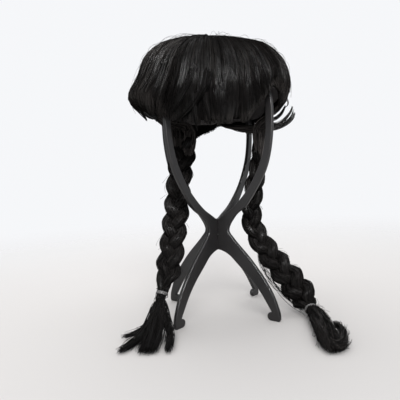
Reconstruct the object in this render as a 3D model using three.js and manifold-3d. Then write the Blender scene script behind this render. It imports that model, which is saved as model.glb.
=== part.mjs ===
// Wig with a full fringe and two plaits, resting on a stand of two crossed plastic panels.
// Millimetres, +Z up. The wig faces -Y. Shapes are worked out about the stand's upright axis,
// and the finished group is moved so that its origin is the middle of its box on the floor.
// Angles round the head are in degrees from the front, towards +X.

import * as THREE from "three";
import { mergeVertices } from "three/addons/utils/BufferGeometryUtils.js";
import Module from "manifold-3d";

const wasm = await Module();
wasm.setup();

const { degToRad, lerp, smoothstep } = THREE.MathUtils;

// Clearance left between pieces that touch, and between domes that lie one over another.
const GAP = 0.3;
const DOME_GAP = 1;

// Stand: two flat panels slotted through each other at the waist and at the top.
const PANEL_THICKNESS = 4.5;
const PANEL_A_TURN = 52.1;
const PANEL_B_TURN = -37.9;
const STAND_HEIGHT = 324;
const ARM_WIDTH = 8.5;
const UPPER_CROTCH_Z = 113.7;
const LOWER_CROTCH_Z = 76.4;
const WAIST_Z = 102;
const WAIST_HALF = 17.6;
const HIP_Z = 90.5;
const HIP_HALF = 24.6;
const WAIST_JOINT_Z = 95;
const FOOT_REACH = 84.5;
const TOE_RADIUS = 4.8;
const TOE_MIDDLE = 72.8;
const SLOT_CLEARANCE = 0.4;

// Edges of an arm, from its widest place down to the waist.
const ARM_ROWS = [
  { z: 237, outer: 84, inner: 75.5 },
  { z: 214, outer: 83, inner: 74.8 },
  { z: 190, outer: 79, inner: 70 },
  { z: 170, outer: 72, inner: 61.2 },
  { z: 150, outer: 59.5, inner: 48 },
  { z: 130, outer: 44, inner: 28 },
  { z: 119, outer: 29, inner: 11 },
];

// Edges of a leg, from the hip down to the ankle.
const LEG_ROWS = [
  { z: 71.5, outer: 44, inner: 16.5 },
  { z: 60, outer: 54.5, inner: 30.5 },
  { z: 45, outer: 66.5, inner: 47.5 },
  { z: 30, outer: 75.8, inner: 60.5 },
  { z: 12, outer: 83, inner: 72.5 },
];

// Cap: a thin oval dome seated on the top of the arms, its rim higher at the brow.
const CAP_HALF_WIDTH = 85;
const CAP_HALF_LENGTH = 88.5;
const CAP_BASE_Z = 237;
const CAP_RISE = STAND_HEIGHT + DOME_GAP - CAP_BASE_Z;
const CAP_WALL = 2;
const CAP_RIM = [
  { angle: 0, z: 264 },
  { angle: 50, z: 260 },
  { angle: 95, z: 259 },
  { angle: 140, z: 240 },
  { angle: 180, z: 238 },
];

// Hair over the cap: a squarish dome in two halves, with soft ridges for its locks.
const HAIR_HALF_LENGTH = 97;
const HAIR_MIDDLE_Z = 264;
const HAIR_SQUARENESS = 2.5;
const HAIR_HEM = 4.5;
const HAIR_TAPER = 0.1;
const DOME_ROWS = 5;
const SKIRT_ROWS = 3;
const RIM_COVER = 2;
const LOCK_ANGLE = 18;
const LOCK_RIDGE = 2.2;
const PARTING_DEPTH = 2.5;
const PARTING_ANGLE = 14;
const HAIR_PANELS = {
  left: { halfWidth: 98, rise: 73, from: -34.5, to: -180, columns: 23, moveX: -0.3, moveY: 0.2 },
  right: { halfWidth: 94, rise: 70, from: 34.5, to: 180, columns: 26, moveX: 0.3, moveY: 0.2 },
  fringe: { halfWidth: 96, rise: 72, from: -33, to: 33, columns: 9, moveX: 0, moveY: -0.4 },
};

// Hem of the hair: its height, and how far it is drawn in under the rim towards the plait.
const HEM_ROWS = {
  left: [
    { angle: -34.5, z: 246, tuck: 0 },
    { angle: -41, z: 243, tuck: 0 },
    { angle: -48, z: 237, tuck: 3 },
    { angle: -66, z: 237, tuck: 20 },
    { angle: -102, z: 238, tuck: 20 },
    { angle: -120, z: 240, tuck: 2 },
    { angle: -135, z: 238, tuck: 0 },
    { angle: -152, z: 223, tuck: 0 },
    { angle: -180, z: 231, tuck: 0 },
  ],
  right: [
    { angle: 34.5, z: 259, tuck: 0 },
    { angle: 54, z: 256, tuck: 0 },
    { angle: 72, z: 240, tuck: 12 },
    { angle: 90, z: 238, tuck: 20 },
    { angle: 118, z: 238, tuck: 20 },
    { angle: 134, z: 230, tuck: 0 },
    { angle: 155, z: 223, tuck: 0 },
    { angle: 180, z: 231, tuck: 0 },
  ],
  fringe: [
    { angle: -33, z: 256, tuck: 0 },
    { angle: 33, z: 256, tuck: 0 },
  ],
};

// Locks that gather under the rim into the head of each plait, by where they leave the hem.
const GATHER_ROWS = {
  left: [
    { angle: -62, reach: 74, z: 241 },
    { angle: -84, reach: 72, z: 241 },
    { angle: -106, reach: 74, z: 242 },
    { angle: -150, reach: 91, z: 229 },
  ],
  right: [
    { angle: 84, reach: 74, z: 242 },
    { angle: 104, reach: 72, z: 242 },
    { angle: 121, reach: 76.4, z: 240.6 },
    { angle: 168, reach: 92, z: 231 },
  ],
};
const GATHER_WIDTH = 7;
const GATHER_THICKNESS = 3.5;
const GATHER_END_HALF = 3.4;
const PLAIT_HEAD_HALF = 8;
const PLAIT_HEAD_LENGTH = 10;

// Short ends that flip out below the hem: root, lowest bend and tip.
const FLIP_ROWS = {
  left: [
    { angle: -54, rootR: 86, rootZ: 243, bendR: 87, bendZ: 236, tipR: 89, tipZ: 229 },
    { angle: -64, rootR: 80, rootZ: 243, bendR: 83, bendZ: 236, tipR: 88, tipZ: 231 },
    { angle: -76, rootR: 76, rootZ: 244, bendR: 82, bendZ: 237, tipR: 91, tipZ: 236 },
  ],
  right: [
    { angle: 70, rootR: 82, rootZ: 246, bendR: 80, bendZ: 226, tipR: 96, tipZ: 227 },
    { angle: 77, rootR: 79, rootZ: 245, bendR: 77, bendZ: 222, tipR: 99, tipZ: 235 },
    { angle: 84, rootR: 80, rootZ: 249, bendR: 79, bendZ: 228, tipR: 98, tipZ: 242 },
    { angle: 91, rootR: 80, rootZ: 247, bendR: 83, bendZ: 234, tipR: 94, tipZ: 250 },
  ],
};
const FLIP_WIDTH = 4;
const FLIP_THICKNESS = 2.4;
const FLIP_TIP_HALF = 0.8;

// Fringe: even locks side by side over the brow, fused to a backing on the cap.
const FRINGE_LOCKS = 9;
const FRINGE_ANGLE = 27;
const FRINGE_LOCK_WIDTH = 7.2;
const FRINGE_LOCK_THICKNESS = 3.8;
const FRINGE_TIP_HALF = 2.4;
const FRINGE_HEM_Z = 218;
const FRINGE_UNEVEN = 2.5;
const FRINGE_ROWS = [
  { z: 288, r: 88 },
  { z: 264, r: 93.5 },
  { z: 240, r: 93.5 },
];
const FRINGE_TIP_R = 90.5;

// Plaits: three strands that cross over in turn round a centre line.
const STRAND_CYCLE = 72;
const STRAND_STEP = 5;
const STRAND_SIDES = 7;
const STRAND_GAP = 3.7;
const STRAND_SWAY = 8;
const STRAND_LIFT = 4.6;
const STRAND_HALF_WIDTH = 7.4;
const STRAND_HALF_THICKNESS = 6.4;
const PLAIT_SIZE = [
  { at: 0, size: 0.62 },
  { at: 0.12, size: 1 },
  { at: 0.82, size: 0.95 },
  { at: 1, size: 0.36 },
];
const PLAIT_ROWS = {
  left: [
    { x: -36, y: 14, z: 222 },
    { x: -36.5, y: 11, z: 204 },
    { x: -42, y: 3, z: 170 },
    { x: -46, y: -7, z: 135 },
    { x: -51, y: -19, z: 101 },
    { x: -57, y: -33, z: 66 },
    { x: -66, y: -48, z: 37 },
  ],
  right: [
    { x: 55, y: 18, z: 217 },
    { x: 53, y: 20, z: 185 },
    { x: 48, y: 23, z: 150 },
    { x: 44.5, y: 25, z: 122 },
    { x: 48, y: 23, z: 94 },
    { x: 63, y: 14, z: 66 },
    { x: 83, y: -6, z: 37 },
    { x: 97, y: -25, z: 16.5 },
    { x: 102.5, y: -37, z: 9.2 },
  ],
};

// Ties and the loose ends below them.
const TIE_WIRE = 1.2;
const TIE_HALF = 5.6;
const TAIL_HEAD_LENGTH = 9;
const TAIL_HEAD_TOP = 4.2;
const TAIL_HEAD_BOTTOM = 5;
const TAIL_WIDTH = 5;
const TAIL_THICKNESS = 3.2;
const TAIL_TIP_HALF = 1.1;
const TAIL_ROWS = {
  left: [
    { bendX: -84, bendY: -58, bendZ: 20, tipX: -105, tipY: -76, tipZ: 2 },
    { bendX: -82, bendY: -63, bendZ: 20, tipX: -107, tipY: -96, tipZ: 2 },
    { bendX: -79, bendY: -69, bendZ: 20, tipX: -102, tipY: -114, tipZ: 2 },
    { bendX: -75, bendY: -74, bendZ: 18, tipX: -90, tipY: -119, tipZ: 2 },
    { bendX: -71, bendY: -77, bendZ: 17, tipX: -78, tipY: -123, tipZ: 2 },
    { bendX: -67, bendY: -76, bendZ: 17, tipX: -64, tipY: -124, tipZ: 2 },
    { bendX: -64, bendY: -72, bendZ: 18, tipX: -55, tipY: -124, tipZ: 2 },
  ],
  right: [
    { bendX: 99, bendY: -80, bendZ: 5.5, tipX: 97, tipY: -136, tipZ: 2 },
    { bendX: 104, bendY: -82, bendZ: 6.5, tipX: 104, tipY: -139, tipZ: 2 },
    { bendX: 109, bendY: -78, bendZ: 6, tipX: 112, tipY: -132, tipZ: 2 },
    { bendX: 114, bendY: -88, bendZ: 5, tipX: 122, tipY: -116, tipZ: 2 },
    { bendX: 119, bendY: -70, bendZ: 4.5, tipX: 127, tipY: -96, tipZ: 2 },
  ],
};

const HAIR_LOOK = { color: 0x1a181a, roughness: 0.45, metalness: 0 };
const CAP_LOOK = { color: 0x141314, roughness: 0.9, metalness: 0 };
const STAND_LOOK = { color: 0x2e2e30, roughness: 0.5, metalness: 0 };
const TIE_LOOK = { color: 0x5a5857, roughness: 0.6, metalness: 0 };

// Value of a column between two rows of a table, eased from row to row.
function tableValue(rows, key, column, position) {
  const last = rows.length - 1;
  const rising = rows[last][key] > rows[0][key];
  for (let i = 0; i < last; i += 1) {
    const from = rows[i][key];
    const to = rows[i + 1][key];
    const inside = rising ? position <= to : position >= to;
    if (inside) {
      const part = Math.min(Math.max((position - from) / (to - from), 0), 1);
      return lerp(rows[i][column], rows[i + 1][column], smoothstep(part, 0, 1));
    }
  }
  return rows[last][column];
}

function headPoint(angle, halfWidth, halfLength, z) {
  const turn = degToRad(angle);
  return new THREE.Vector3(halfWidth * Math.sin(turn), -halfLength * Math.cos(turn), z);
}

// Builds a geometry from points and faces, with its faces turned to point outwards.
function closedGeometry(points, faces) {
  let volume = 0;
  const cross = new THREE.Vector3();
  for (const [a, b, c] of faces) {
    volume += points[a].dot(cross.crossVectors(points[b], points[c]));
  }
  const order = volume < 0 ? faces.map(([a, b, c]) => [a, c, b]) : faces;
  const geometry = new THREE.BufferGeometry().setFromPoints(points);
  geometry.setIndex(order.flat());
  return geometry;
}

// Solid through a row of rings with equal numbers of points, closed at both ends.
function loft(rings) {
  const sides = rings[0].length;
  const points = rings.flat();
  const faces = [];
  for (let i = 0; i + 1 < rings.length; i += 1) {
    for (let j = 0; j < sides; j += 1) {
      const a = i * sides + j;
      const b = i * sides + ((j + 1) % sides);
      faces.push([a, b, b + sides]);
      faces.push([a, b + sides, a + sides]);
    }
  }
  const end = (rings.length - 1) * sides;
  for (let j = 1; j + 1 < sides; j += 1) {
    faces.push([0, j + 1, j]);
    faces.push([end, end + j, end + j + 1]);
  }
  return closedGeometry(points, faces);
}

// Solid between an outer and an inner surface, each a list of columns of points from the crown
// to the hem, the first point shared by all columns. A closed wall runs right round, and an
// open one has two side walls.
function wallSolid(outer, inner, closed) {
  const columns = outer.length;
  const rows = outer[0].length;
  const points = [...outer.flat(), ...inner.flat()];
  const faces = [];
  const at = (skin, column, row) => {
    const place = row === 0 ? 0 : (column % columns) * rows + row;
    return skin * columns * rows + place;
  };
  const quad = (a, b, c, d) => {
    const halves = [[a, b, c], [a, c, d]];
    faces.push(...halves.filter((face) => new Set(face).size === 3));
  };
  const spans = closed ? columns : columns - 1;
  for (let i = 0; i < spans; i += 1) {
    for (let j = 0; j + 1 < rows; j += 1) {
      quad(at(0, i, j), at(0, i + 1, j), at(0, i + 1, j + 1), at(0, i, j + 1));
      quad(at(1, i, j), at(1, i, j + 1), at(1, i + 1, j + 1), at(1, i + 1, j));
    }
    const hem = rows - 1;
    quad(at(0, i, hem), at(0, i + 1, hem), at(1, i + 1, hem), at(1, i, hem));
  }
  if (!closed) {
    const end = columns - 1;
    for (let j = 0; j + 1 < rows; j += 1) {
      quad(at(0, 0, j), at(0, 0, j + 1), at(1, 0, j + 1), at(1, 0, j));
      quad(at(0, end, j), at(1, end, j), at(1, end, j + 1), at(0, end, j + 1));
    }
  }
  return mergeVertices(closedGeometry(points, faces), 1e-3);
}

// Lock of hair: a flat oval section swept along a curve, narrowing to its tip from some part on.
function lock(pathPoints, across, halfWidth, halfThickness, tipHalf, taperFrom, steps) {
  const curve = new THREE.CatmullRomCurve3(pathPoints, false, "centripetal");
  const rings = [];
  const sides = 6;
  for (let i = 0; i <= steps; i += 1) {
    const part = i / steps;
    const middle = curve.getPointAt(part);
    const along = curve.getTangentAt(part);
    const up = new THREE.Vector3().crossVectors(along, across).normalize();
    const over = new THREE.Vector3().crossVectors(up, along).normalize();
    const fade = smoothstep(part, taperFrom, 1);
    const width = lerp(halfWidth, tipHalf, fade);
    const thickness = lerp(halfThickness, tipHalf, fade);
    const ring = [];
    for (let j = 0; j < sides; j += 1) {
      const turn = (j / sides) * 2 * Math.PI;
      const point = middle.clone().addScaledVector(over, width * Math.cos(turn));
      ring.push(point.addScaledVector(up, thickness * Math.sin(turn)));
    }
    rings.push(ring);
  }
  return loft(rings);
}

function toSolid(geometry) {
  const bare = geometry.clone();
  bare.deleteAttribute("normal");
  bare.deleteAttribute("uv");
  const merged = mergeVertices(bare, 1e-4);
  const vertProperties = new Float32Array(merged.attributes.position.array);
  const triVerts = new Uint32Array(merged.index.array);
  return new wasm.Manifold(new wasm.Mesh({ numProp: 3, vertProperties, triVerts }));
}

function toGeometry(solid) {
  const mesh = solid.getMesh();
  const geometry = new THREE.BufferGeometry();
  geometry.setAttribute("position", new THREE.BufferAttribute(mesh.vertProperties, 3));
  geometry.setIndex(new THREE.BufferAttribute(mesh.triVerts, 1));
  return geometry;
}

function fuse(geometries) {
  const solids = geometries.map(toSolid);
  return toGeometry(solids.reduce((whole, next) => whole.add(next)));
}

function piece(name, geometry, look) {
  geometry.computeVertexNormals();
  const mesh = new THREE.Mesh(geometry, new THREE.MeshStandardMaterial(look));
  mesh.name = name;
  return mesh;
}

// Turn that lays a cylinder's top-to-bottom axis along a direction.
function turnedTo(along) {
  return new THREE.Quaternion().setFromUnitVectors(new THREE.Vector3(0, -1, 0), along);
}

function mirrored(half) {
  const other = half.map((p) => new THREE.Vector2(-p.x, p.y)).reverse();
  return half.concat(other.filter((p) => Math.abs(p.x) > 1e-6));
}

function quarterArch(halfWidth, baseZ, rise, steps) {
  const points = [];
  for (let i = 0; i < steps; i += 1) {
    const turn = ((1 - i / steps) * Math.PI) / 2;
    const x = i === 0 ? 0 : halfWidth * Math.cos(turn);
    points.push(new THREE.Vector2(x, baseZ + rise * Math.sin(turn)));
  }
  return points;
}

// Outline of a panel in its own plane, with its loop, before the slots are cut.
function panelBlank() {
  const widest = ARM_ROWS[0];
  const rise = STAND_HEIGHT - widest.z;
  const side = [
    ...ARM_ROWS.map((row) => new THREE.Vector2(row.outer, row.z)),
    new THREE.Vector2(WAIST_HALF, WAIST_Z),
    new THREE.Vector2(HIP_HALF, HIP_Z),
    ...LEG_ROWS.map((row) => new THREE.Vector2(row.outer, row.z)),
    new THREE.Vector2(FOOT_REACH, 0),
  ];
  const toe = [];
  for (let i = 0; i <= 5; i += 1) {
    const turn = degToRad(270 - i * 40);
    const x = TOE_MIDDLE + TOE_RADIUS * Math.cos(turn);
    toe.push(new THREE.Vector2(x, TOE_RADIUS + TOE_RADIUS * Math.sin(turn)));
  }
  const inside = LEG_ROWS.map((row) => new THREE.Vector2(row.inner, row.z)).reverse();
  inside.push(new THREE.Vector2(0, LOWER_CROTCH_Z));
  const outline = [
    ...quarterArch(widest.outer, widest.z, rise, 9),
    ...new THREE.SplineCurve(side).getPoints(26),
    ...toe,
    ...new THREE.SplineCurve(inside).getPoints(10),
  ];
  const loop = [
    ...ARM_ROWS.map((row) => new THREE.Vector2(row.inner, row.z)),
    new THREE.Vector2(0, UPPER_CROTCH_Z),
  ];
  const hole = [
    ...quarterArch(widest.inner, widest.z, rise - ARM_WIDTH, 9),
    ...new THREE.SplineCurve(loop).getPoints(17),
  ];
  const shape = new THREE.Shape(mirrored(outline));
  shape.holes.push(new THREE.Path(mirrored(hole).reverse()));
  const extrusion = { depth: PANEL_THICKNESS, bevelEnabled: false, steps: 1 };
  const geometry = new THREE.ExtrudeGeometry(shape, extrusion);
  geometry.translate(0, 0, -PANEL_THICKNESS / 2);
  geometry.rotateX(Math.PI / 2);
  return toSolid(geometry);
}

function slotCut(fromZ, toZ) {
  const width = PANEL_THICKNESS + 2 * SLOT_CLEARANCE;
  const geometry = new THREE.BoxGeometry(width, 2 * PANEL_THICKNESS, toZ - fromZ);
  geometry.translate(0, 0, (fromZ + toZ) / 2);
  return toSolid(geometry);
}

// One panel has its slots open downwards, and the other open upwards.
function standPanel(name, turn, opensDown) {
  const half = SLOT_CLEARANCE / 2;
  const topJointZ = STAND_HEIGHT - ARM_WIDTH / 2;
  let solid = panelBlank();
  if (opensDown) {
    solid = solid.subtract(slotCut(LOWER_CROTCH_Z - 8, WAIST_JOINT_Z + half));
    solid = solid.subtract(slotCut(STAND_HEIGHT - ARM_WIDTH - 5, topJointZ + half));
  } else {
    solid = solid.subtract(slotCut(WAIST_JOINT_Z - half, UPPER_CROTCH_Z + 8));
    solid = solid.subtract(slotCut(topJointZ - half, STAND_HEIGHT + 5));
  }
  const mesh = piece(name, toGeometry(solid), STAND_LOOK);
  mesh.rotation.z = degToRad(turn);
  return mesh;
}

// Point on the cap's dome, moved outwards by an offset, at a slope up from its base.
function capPoint(angle, slope, offset) {
  const flat = Math.cos(slope);
  const z = CAP_BASE_Z + (CAP_RISE + offset) * Math.sin(slope);
  return headPoint(angle, (CAP_HALF_WIDTH + offset) * flat, (CAP_HALF_LENGTH + offset) * flat, z);
}

function capSlope(z, offset) {
  return Math.asin((z - CAP_BASE_Z) / (CAP_RISE + offset));
}

function capMesh() {
  const columns = 28;
  const rows = 6;
  const outer = [];
  const inner = [];
  for (let i = 0; i < columns; i += 1) {
    const angle = (i / columns) * 360;
    const rimZ = tableValue(CAP_RIM, "angle", "z", angle > 180 ? 360 - angle : angle);
    for (const [skin, offset] of [[outer, CAP_WALL], [inner, 0]]) {
      const rim = capSlope(rimZ, offset);
      const column = [];
      for (let j = 0; j < rows; j += 1) {
        column.push(capPoint(angle, lerp(Math.PI / 2, rim, j / (rows - 1)), offset));
      }
      skin.push(column);
    }
  }
  return piece("cap", wallSolid(outer, inner, true), CAP_LOOK);
}

// Soft ridges of the locks round the head.
function ridge(angle) {
  return LOCK_RIDGE * Math.cos((angle / LOCK_ANGLE) * 2 * Math.PI);
}

// One column of the hair's outer and inner surface, from the crown over the widest place to the hem.
function hairColumn(panel, hemRows, angle) {
  const hemZ = tableValue(hemRows, "angle", "z", angle) - ridge(angle);
  const tuck = tableValue(hemRows, "angle", "tuck", angle);
  const bend = 2 / HAIR_SQUARENESS;
  const groove = PARTING_DEPTH * (1 - smoothstep(180 - Math.abs(angle), 0, PARTING_ANGLE));
  const outer = [];
  for (let j = 0; j < DOME_ROWS; j += 1) {
    const slope = ((1 - j / (DOME_ROWS - 1)) * Math.PI) / 2;
    const flat = j === 0 ? 0 : Math.cos(slope) ** bend;
    const dip = j === 0 ? PARTING_DEPTH : groove * (1 - flat);
    const z = HAIR_MIDDLE_Z + panel.rise * Math.sin(slope) ** bend - dip;
    const extra = ridge(angle) * flat;
    outer.push(headPoint(angle, panel.halfWidth * flat + extra, HAIR_HALF_LENGTH * flat + extra, z));
  }
  for (let j = 1; j <= SKIRT_ROWS; j += 1) {
    const down = j / SKIRT_ROWS;
    const z = lerp(HAIR_MIDDLE_Z, hemZ, down);
    const extra = ridge(angle) - tuck * down * down - HAIR_TAPER * (HAIR_MIDDLE_Z - z);
    outer.push(headPoint(angle, panel.halfWidth + extra, HAIR_HALF_LENGTH + extra, z));
  }
  const offset = CAP_WALL + DOME_GAP;
  const rimZ = tableValue(CAP_RIM, "angle", "z", Math.abs(angle));
  const innerEnd = capSlope(Math.max(rimZ - RIM_COVER, hemZ + 1), offset);
  const inner = [];
  const innerRows = outer.length - 1;
  for (let j = 0; j < innerRows; j += 1) {
    inner.push(capPoint(angle, lerp(Math.PI / 2, innerEnd, j / (innerRows - 1)), offset));
  }
  const hem = outer[innerRows].clone();
  const hemReach = Math.hypot(hem.x, hem.y);
  hem.x *= 1 - HAIR_HEM / hemReach;
  hem.y *= 1 - HAIR_HEM / hemReach;
  hem.z += 1;
  inner.push(hem);
  return { outer, inner };
}

// Ends that flip out under the hem.
function flipLocks(rows) {
  return rows.map((row) => {
    const points = [
      headPoint(row.angle, row.rootR, row.rootR, row.rootZ),
      headPoint(row.angle, row.bendR, row.bendR, row.bendZ),
      headPoint(row.angle, row.tipR, row.tipR, row.tipZ),
    ];
    const across = headPoint(row.angle + 90, 1, 1, 0);
    return lock(points, across, FLIP_WIDTH, FLIP_THICKNESS, FLIP_TIP_HALF, 0.3, 4);
  });
}

// Locks that draw the hem's hair under the rim and down into the head of the plait.
function gatherLocks(rows, head) {
  return rows.map((row, i) => {
    const start = headPoint(row.angle, row.reach, row.reach, row.z);
    const end = new THREE.Vector3(head.x, head.y, head.z - 1 + 0.9 * i);
    const middle = start.clone().lerp(end, 0.55);
    middle.z -= 1;
    const across = new THREE.Vector3().subVectors(end, start).cross(new THREE.Vector3(0, 0, 1));
    const points = [start, middle, end];
    across.normalize();
    return lock(points, across, GATHER_WIDTH, GATHER_THICKNESS, GATHER_END_HALF, 0.4, 4);
  });
}

function hairPanel(key) {
  const panel = HAIR_PANELS[key];
  const outer = [];
  const inner = [];
  for (let i = 0; i < panel.columns; i += 1) {
    const angle = lerp(panel.from, panel.to, i / (panel.columns - 1));
    const column = hairColumn(panel, HEM_ROWS[key], angle);
    outer.push(column.outer);
    inner.push(column.inner);
  }
  return wallSolid(outer, inner, false);
}

function hairHalf(key) {
  const frame = plaitFrame(plaitCurve(key), 0);
  const head = new THREE.CylinderGeometry(PLAIT_HEAD_HALF, PLAIT_HEAD_HALF, PLAIT_HEAD_LENGTH, 12);
  const headMiddle = frame.middle.clone().addScaledVector(frame.along, -GAP - PLAIT_HEAD_LENGTH / 2);
  head.applyQuaternion(turnedTo(frame.along));
  head.translate(headMiddle.x, headMiddle.y, headMiddle.z);
  const gathered = gatherLocks(GATHER_ROWS[key], headMiddle);
  const geometry = fuse([hairPanel(key), ...flipLocks(FLIP_ROWS[key]), ...gathered, head]);
  geometry.translate(HAIR_PANELS[key].moveX, HAIR_PANELS[key].moveY, 0);
  return piece(`hair_${key}`, geometry, HAIR_LOOK);
}

function fringeMesh() {
  const locks = [];
  for (let i = 0; i < FRINGE_LOCKS; i += 1) {
    const angle = lerp(-FRINGE_ANGLE, FRINGE_ANGLE, i / (FRINGE_LOCKS - 1));
    const hemZ = FRINGE_HEM_Z + FRINGE_UNEVEN * Math.sin(i * 2.4);
    const points = FRINGE_ROWS.map((row) => headPoint(angle, row.r, row.r, row.z));
    points.push(headPoint(angle, FRINGE_TIP_R, FRINGE_TIP_R, hemZ));
    const across = headPoint(angle + 90, 1, 1, 0);
    const sizes = [FRINGE_LOCK_WIDTH, FRINGE_LOCK_THICKNESS, FRINGE_TIP_HALF];
    locks.push(lock(points, across, ...sizes, 0.7, 5));
  }
  const geometry = fuse([hairPanel("fringe"), ...locks]);
  geometry.translate(HAIR_PANELS.fringe.moveX, HAIR_PANELS.fringe.moveY, 0);
  return piece("fringe", geometry, HAIR_LOOK);
}

// Centre line of a plait, with the directions of its width and thickness at a place along it.
function plaitCurve(key) {
  const points = PLAIT_ROWS[key].map((row) => new THREE.Vector3(row.x, row.y, row.z));
  return new THREE.CatmullRomCurve3(points, false, "centripetal");
}

function plaitFrame(curve, part) {
  const along = curve.getTangentAt(part);
  const width = new THREE.Vector3().crossVectors(along, new THREE.Vector3(0, -1, 0)).normalize();
  const lift = new THREE.Vector3().crossVectors(along, width).normalize();
  return { middle: curve.getPointAt(part), along, width, lift };
}

function strandCentre(index, travelled, size) {
  const turn = (travelled / STRAND_CYCLE + index / 3) * 2 * Math.PI;
  const centre = new THREE.Vector2(STRAND_SWAY * Math.sin(turn), STRAND_LIFT * Math.sin(2 * turn));
  return centre.multiplyScalar(size);
}

// Section of a strand: an oval that stops half a gap short of the lines midway to the others.
function strandRing(index, travelled, size, frame) {
  const own = strandCentre(index, travelled, size);
  const others = [1, 2].map((k) => strandCentre((index + k) % 3, travelled, size).sub(own));
  const ring = [];
  for (let j = 0; j < STRAND_SIDES; j += 1) {
    const turn = (j / STRAND_SIDES) * 2 * Math.PI;
    const aim = new THREE.Vector2(Math.cos(turn), Math.sin(turn));
    let reach = size / Math.hypot(aim.x / STRAND_HALF_WIDTH, aim.y / STRAND_HALF_THICKNESS);
    for (const other of others) {
      const distance = other.length();
      const facing = aim.dot(other) / distance;
      if (facing > 0.02) {
        reach = Math.min(reach, (distance - STRAND_GAP * size) / 2 / facing);
      }
    }
    const at = own.clone().addScaledVector(aim, reach);
    const point = frame.middle.clone().addScaledVector(frame.width, at.x);
    ring.push(point.addScaledVector(frame.lift, at.y));
  }
  return ring;
}

function plaitStrands(key) {
  const curve = plaitCurve(key);
  const length = curve.getLength();
  const steps = Math.round(length / STRAND_STEP);
  return [0, 1, 2].map((index) => {
    const rings = [];
    for (let i = 0; i <= steps; i += 1) {
      const part = i / steps;
      const size = tableValue(PLAIT_SIZE, "at", "size", part);
      rings.push(strandRing(index, part * length, size, plaitFrame(curve, part)));
    }
    return piece(`braid_${key}_${index + 1}`, loft(rings), HAIR_LOOK);
  });
}

function tieMesh(key) {
  const frame = plaitFrame(plaitCurve(key), 1);
  const geometry = new THREE.TorusGeometry(TIE_HALF + GAP + TIE_WIRE, TIE_WIRE, 6, 12);
  const mesh = piece(`tie_${key}`, geometry, TIE_LOOK);
  mesh.position.copy(frame.middle);
  mesh.quaternion.setFromUnitVectors(new THREE.Vector3(0, 0, 1), frame.along);
  return mesh;
}

function tailMesh(key) {
  const frame = plaitFrame(plaitCurve(key), 1);
  const start = frame.middle.clone().addScaledVector(frame.along, GAP);
  const neck = start.clone().addScaledVector(frame.along, TAIL_HEAD_LENGTH);
  const head = new THREE.CylinderGeometry(TAIL_HEAD_TOP, TAIL_HEAD_BOTTOM, TAIL_HEAD_LENGTH, 12);
  head.applyQuaternion(turnedTo(frame.along));
  const middle = start.clone().lerp(neck, 0.5);
  head.translate(middle.x, middle.y, middle.z);
  const locks = TAIL_ROWS[key].map((row, i) => {
    const root = start.clone().lerp(neck, 0.45 + 0.05 * i);
    const bend = new THREE.Vector3(row.bendX, row.bendY, row.bendZ);
    const tip = new THREE.Vector3(row.tipX, row.tipY, row.tipZ);
    const across = new THREE.Vector3().subVectors(tip, root).cross(new THREE.Vector3(0, 0, 1));
    across.normalize();
    return lock([root, bend, tip], across, TAIL_WIDTH, TAIL_THICKNESS, TAIL_TIP_HALF, 0.5, 4);
  });
  return piece(`tail_${key}`, fuse([head, ...locks]), HAIR_LOOK);
}

const assembly = new THREE.Group();
assembly.add(standPanel("stand_panel_a", PANEL_A_TURN, true));
assembly.add(standPanel("stand_panel_b", PANEL_B_TURN, false));
assembly.add(capMesh());
assembly.add(hairHalf("left"), hairHalf("right"), fringeMesh());
for (const key of ["left", "right"]) {
  assembly.add(...plaitStrands(key), tieMesh(key), tailMesh(key));
}

const box = new THREE.Box3().setFromObject(assembly, true);
const middle = box.getCenter(new THREE.Vector3());
assembly.position.set(-middle.x, -middle.y, -box.min.z);

const wigOnStand = new THREE.Group();
wigOnStand.add(assembly);

export default wigOnStand;
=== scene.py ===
"""Looks of a wig with a full fringe and two plaits, on a stand of two slotted plastic panels.

Tables are in millimetres about the stand's upright axis, +Z up, with the wig facing -Y. Angles
round the head are in degrees from the front, towards +X. Meshes are in metres in the row's frame.
"""

import math
from types import SimpleNamespace

import bmesh
import bpy
import numpy as np
from bpy.props import FloatProperty, FloatVectorProperty, IntProperty, PointerProperty
from mathutils import Matrix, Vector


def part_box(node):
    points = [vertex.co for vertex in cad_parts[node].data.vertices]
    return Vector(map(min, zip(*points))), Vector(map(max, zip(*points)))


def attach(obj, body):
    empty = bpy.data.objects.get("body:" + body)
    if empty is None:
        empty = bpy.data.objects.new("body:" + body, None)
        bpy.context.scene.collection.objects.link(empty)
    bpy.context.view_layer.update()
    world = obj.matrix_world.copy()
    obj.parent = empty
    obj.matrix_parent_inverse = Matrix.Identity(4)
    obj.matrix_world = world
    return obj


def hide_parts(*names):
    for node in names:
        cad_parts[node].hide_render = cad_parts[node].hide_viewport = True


bl_info = {
    "name": "Wig with plaits on a stand",
    "version": (1, 0, 0),
    "blender": (4, 5, 0),
    "location": "View3D > Sidebar > Wig",
    "description": "Builds the hair, cap, ties, stand and stage of a wig with two plaits",
    "category": "Object",
}

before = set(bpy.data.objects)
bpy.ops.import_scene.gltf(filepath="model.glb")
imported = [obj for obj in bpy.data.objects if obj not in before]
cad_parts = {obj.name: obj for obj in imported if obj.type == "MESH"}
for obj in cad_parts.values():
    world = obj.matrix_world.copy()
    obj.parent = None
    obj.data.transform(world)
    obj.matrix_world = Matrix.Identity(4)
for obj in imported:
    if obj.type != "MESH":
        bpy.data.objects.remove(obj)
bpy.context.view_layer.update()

MM = 0.001
_low, _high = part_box("stand_panel_a")
AXIS = np.array([(_low.x + _high.x) / 2, (_low.y + _high.y) / 2, 0.0]) / MM

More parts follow.
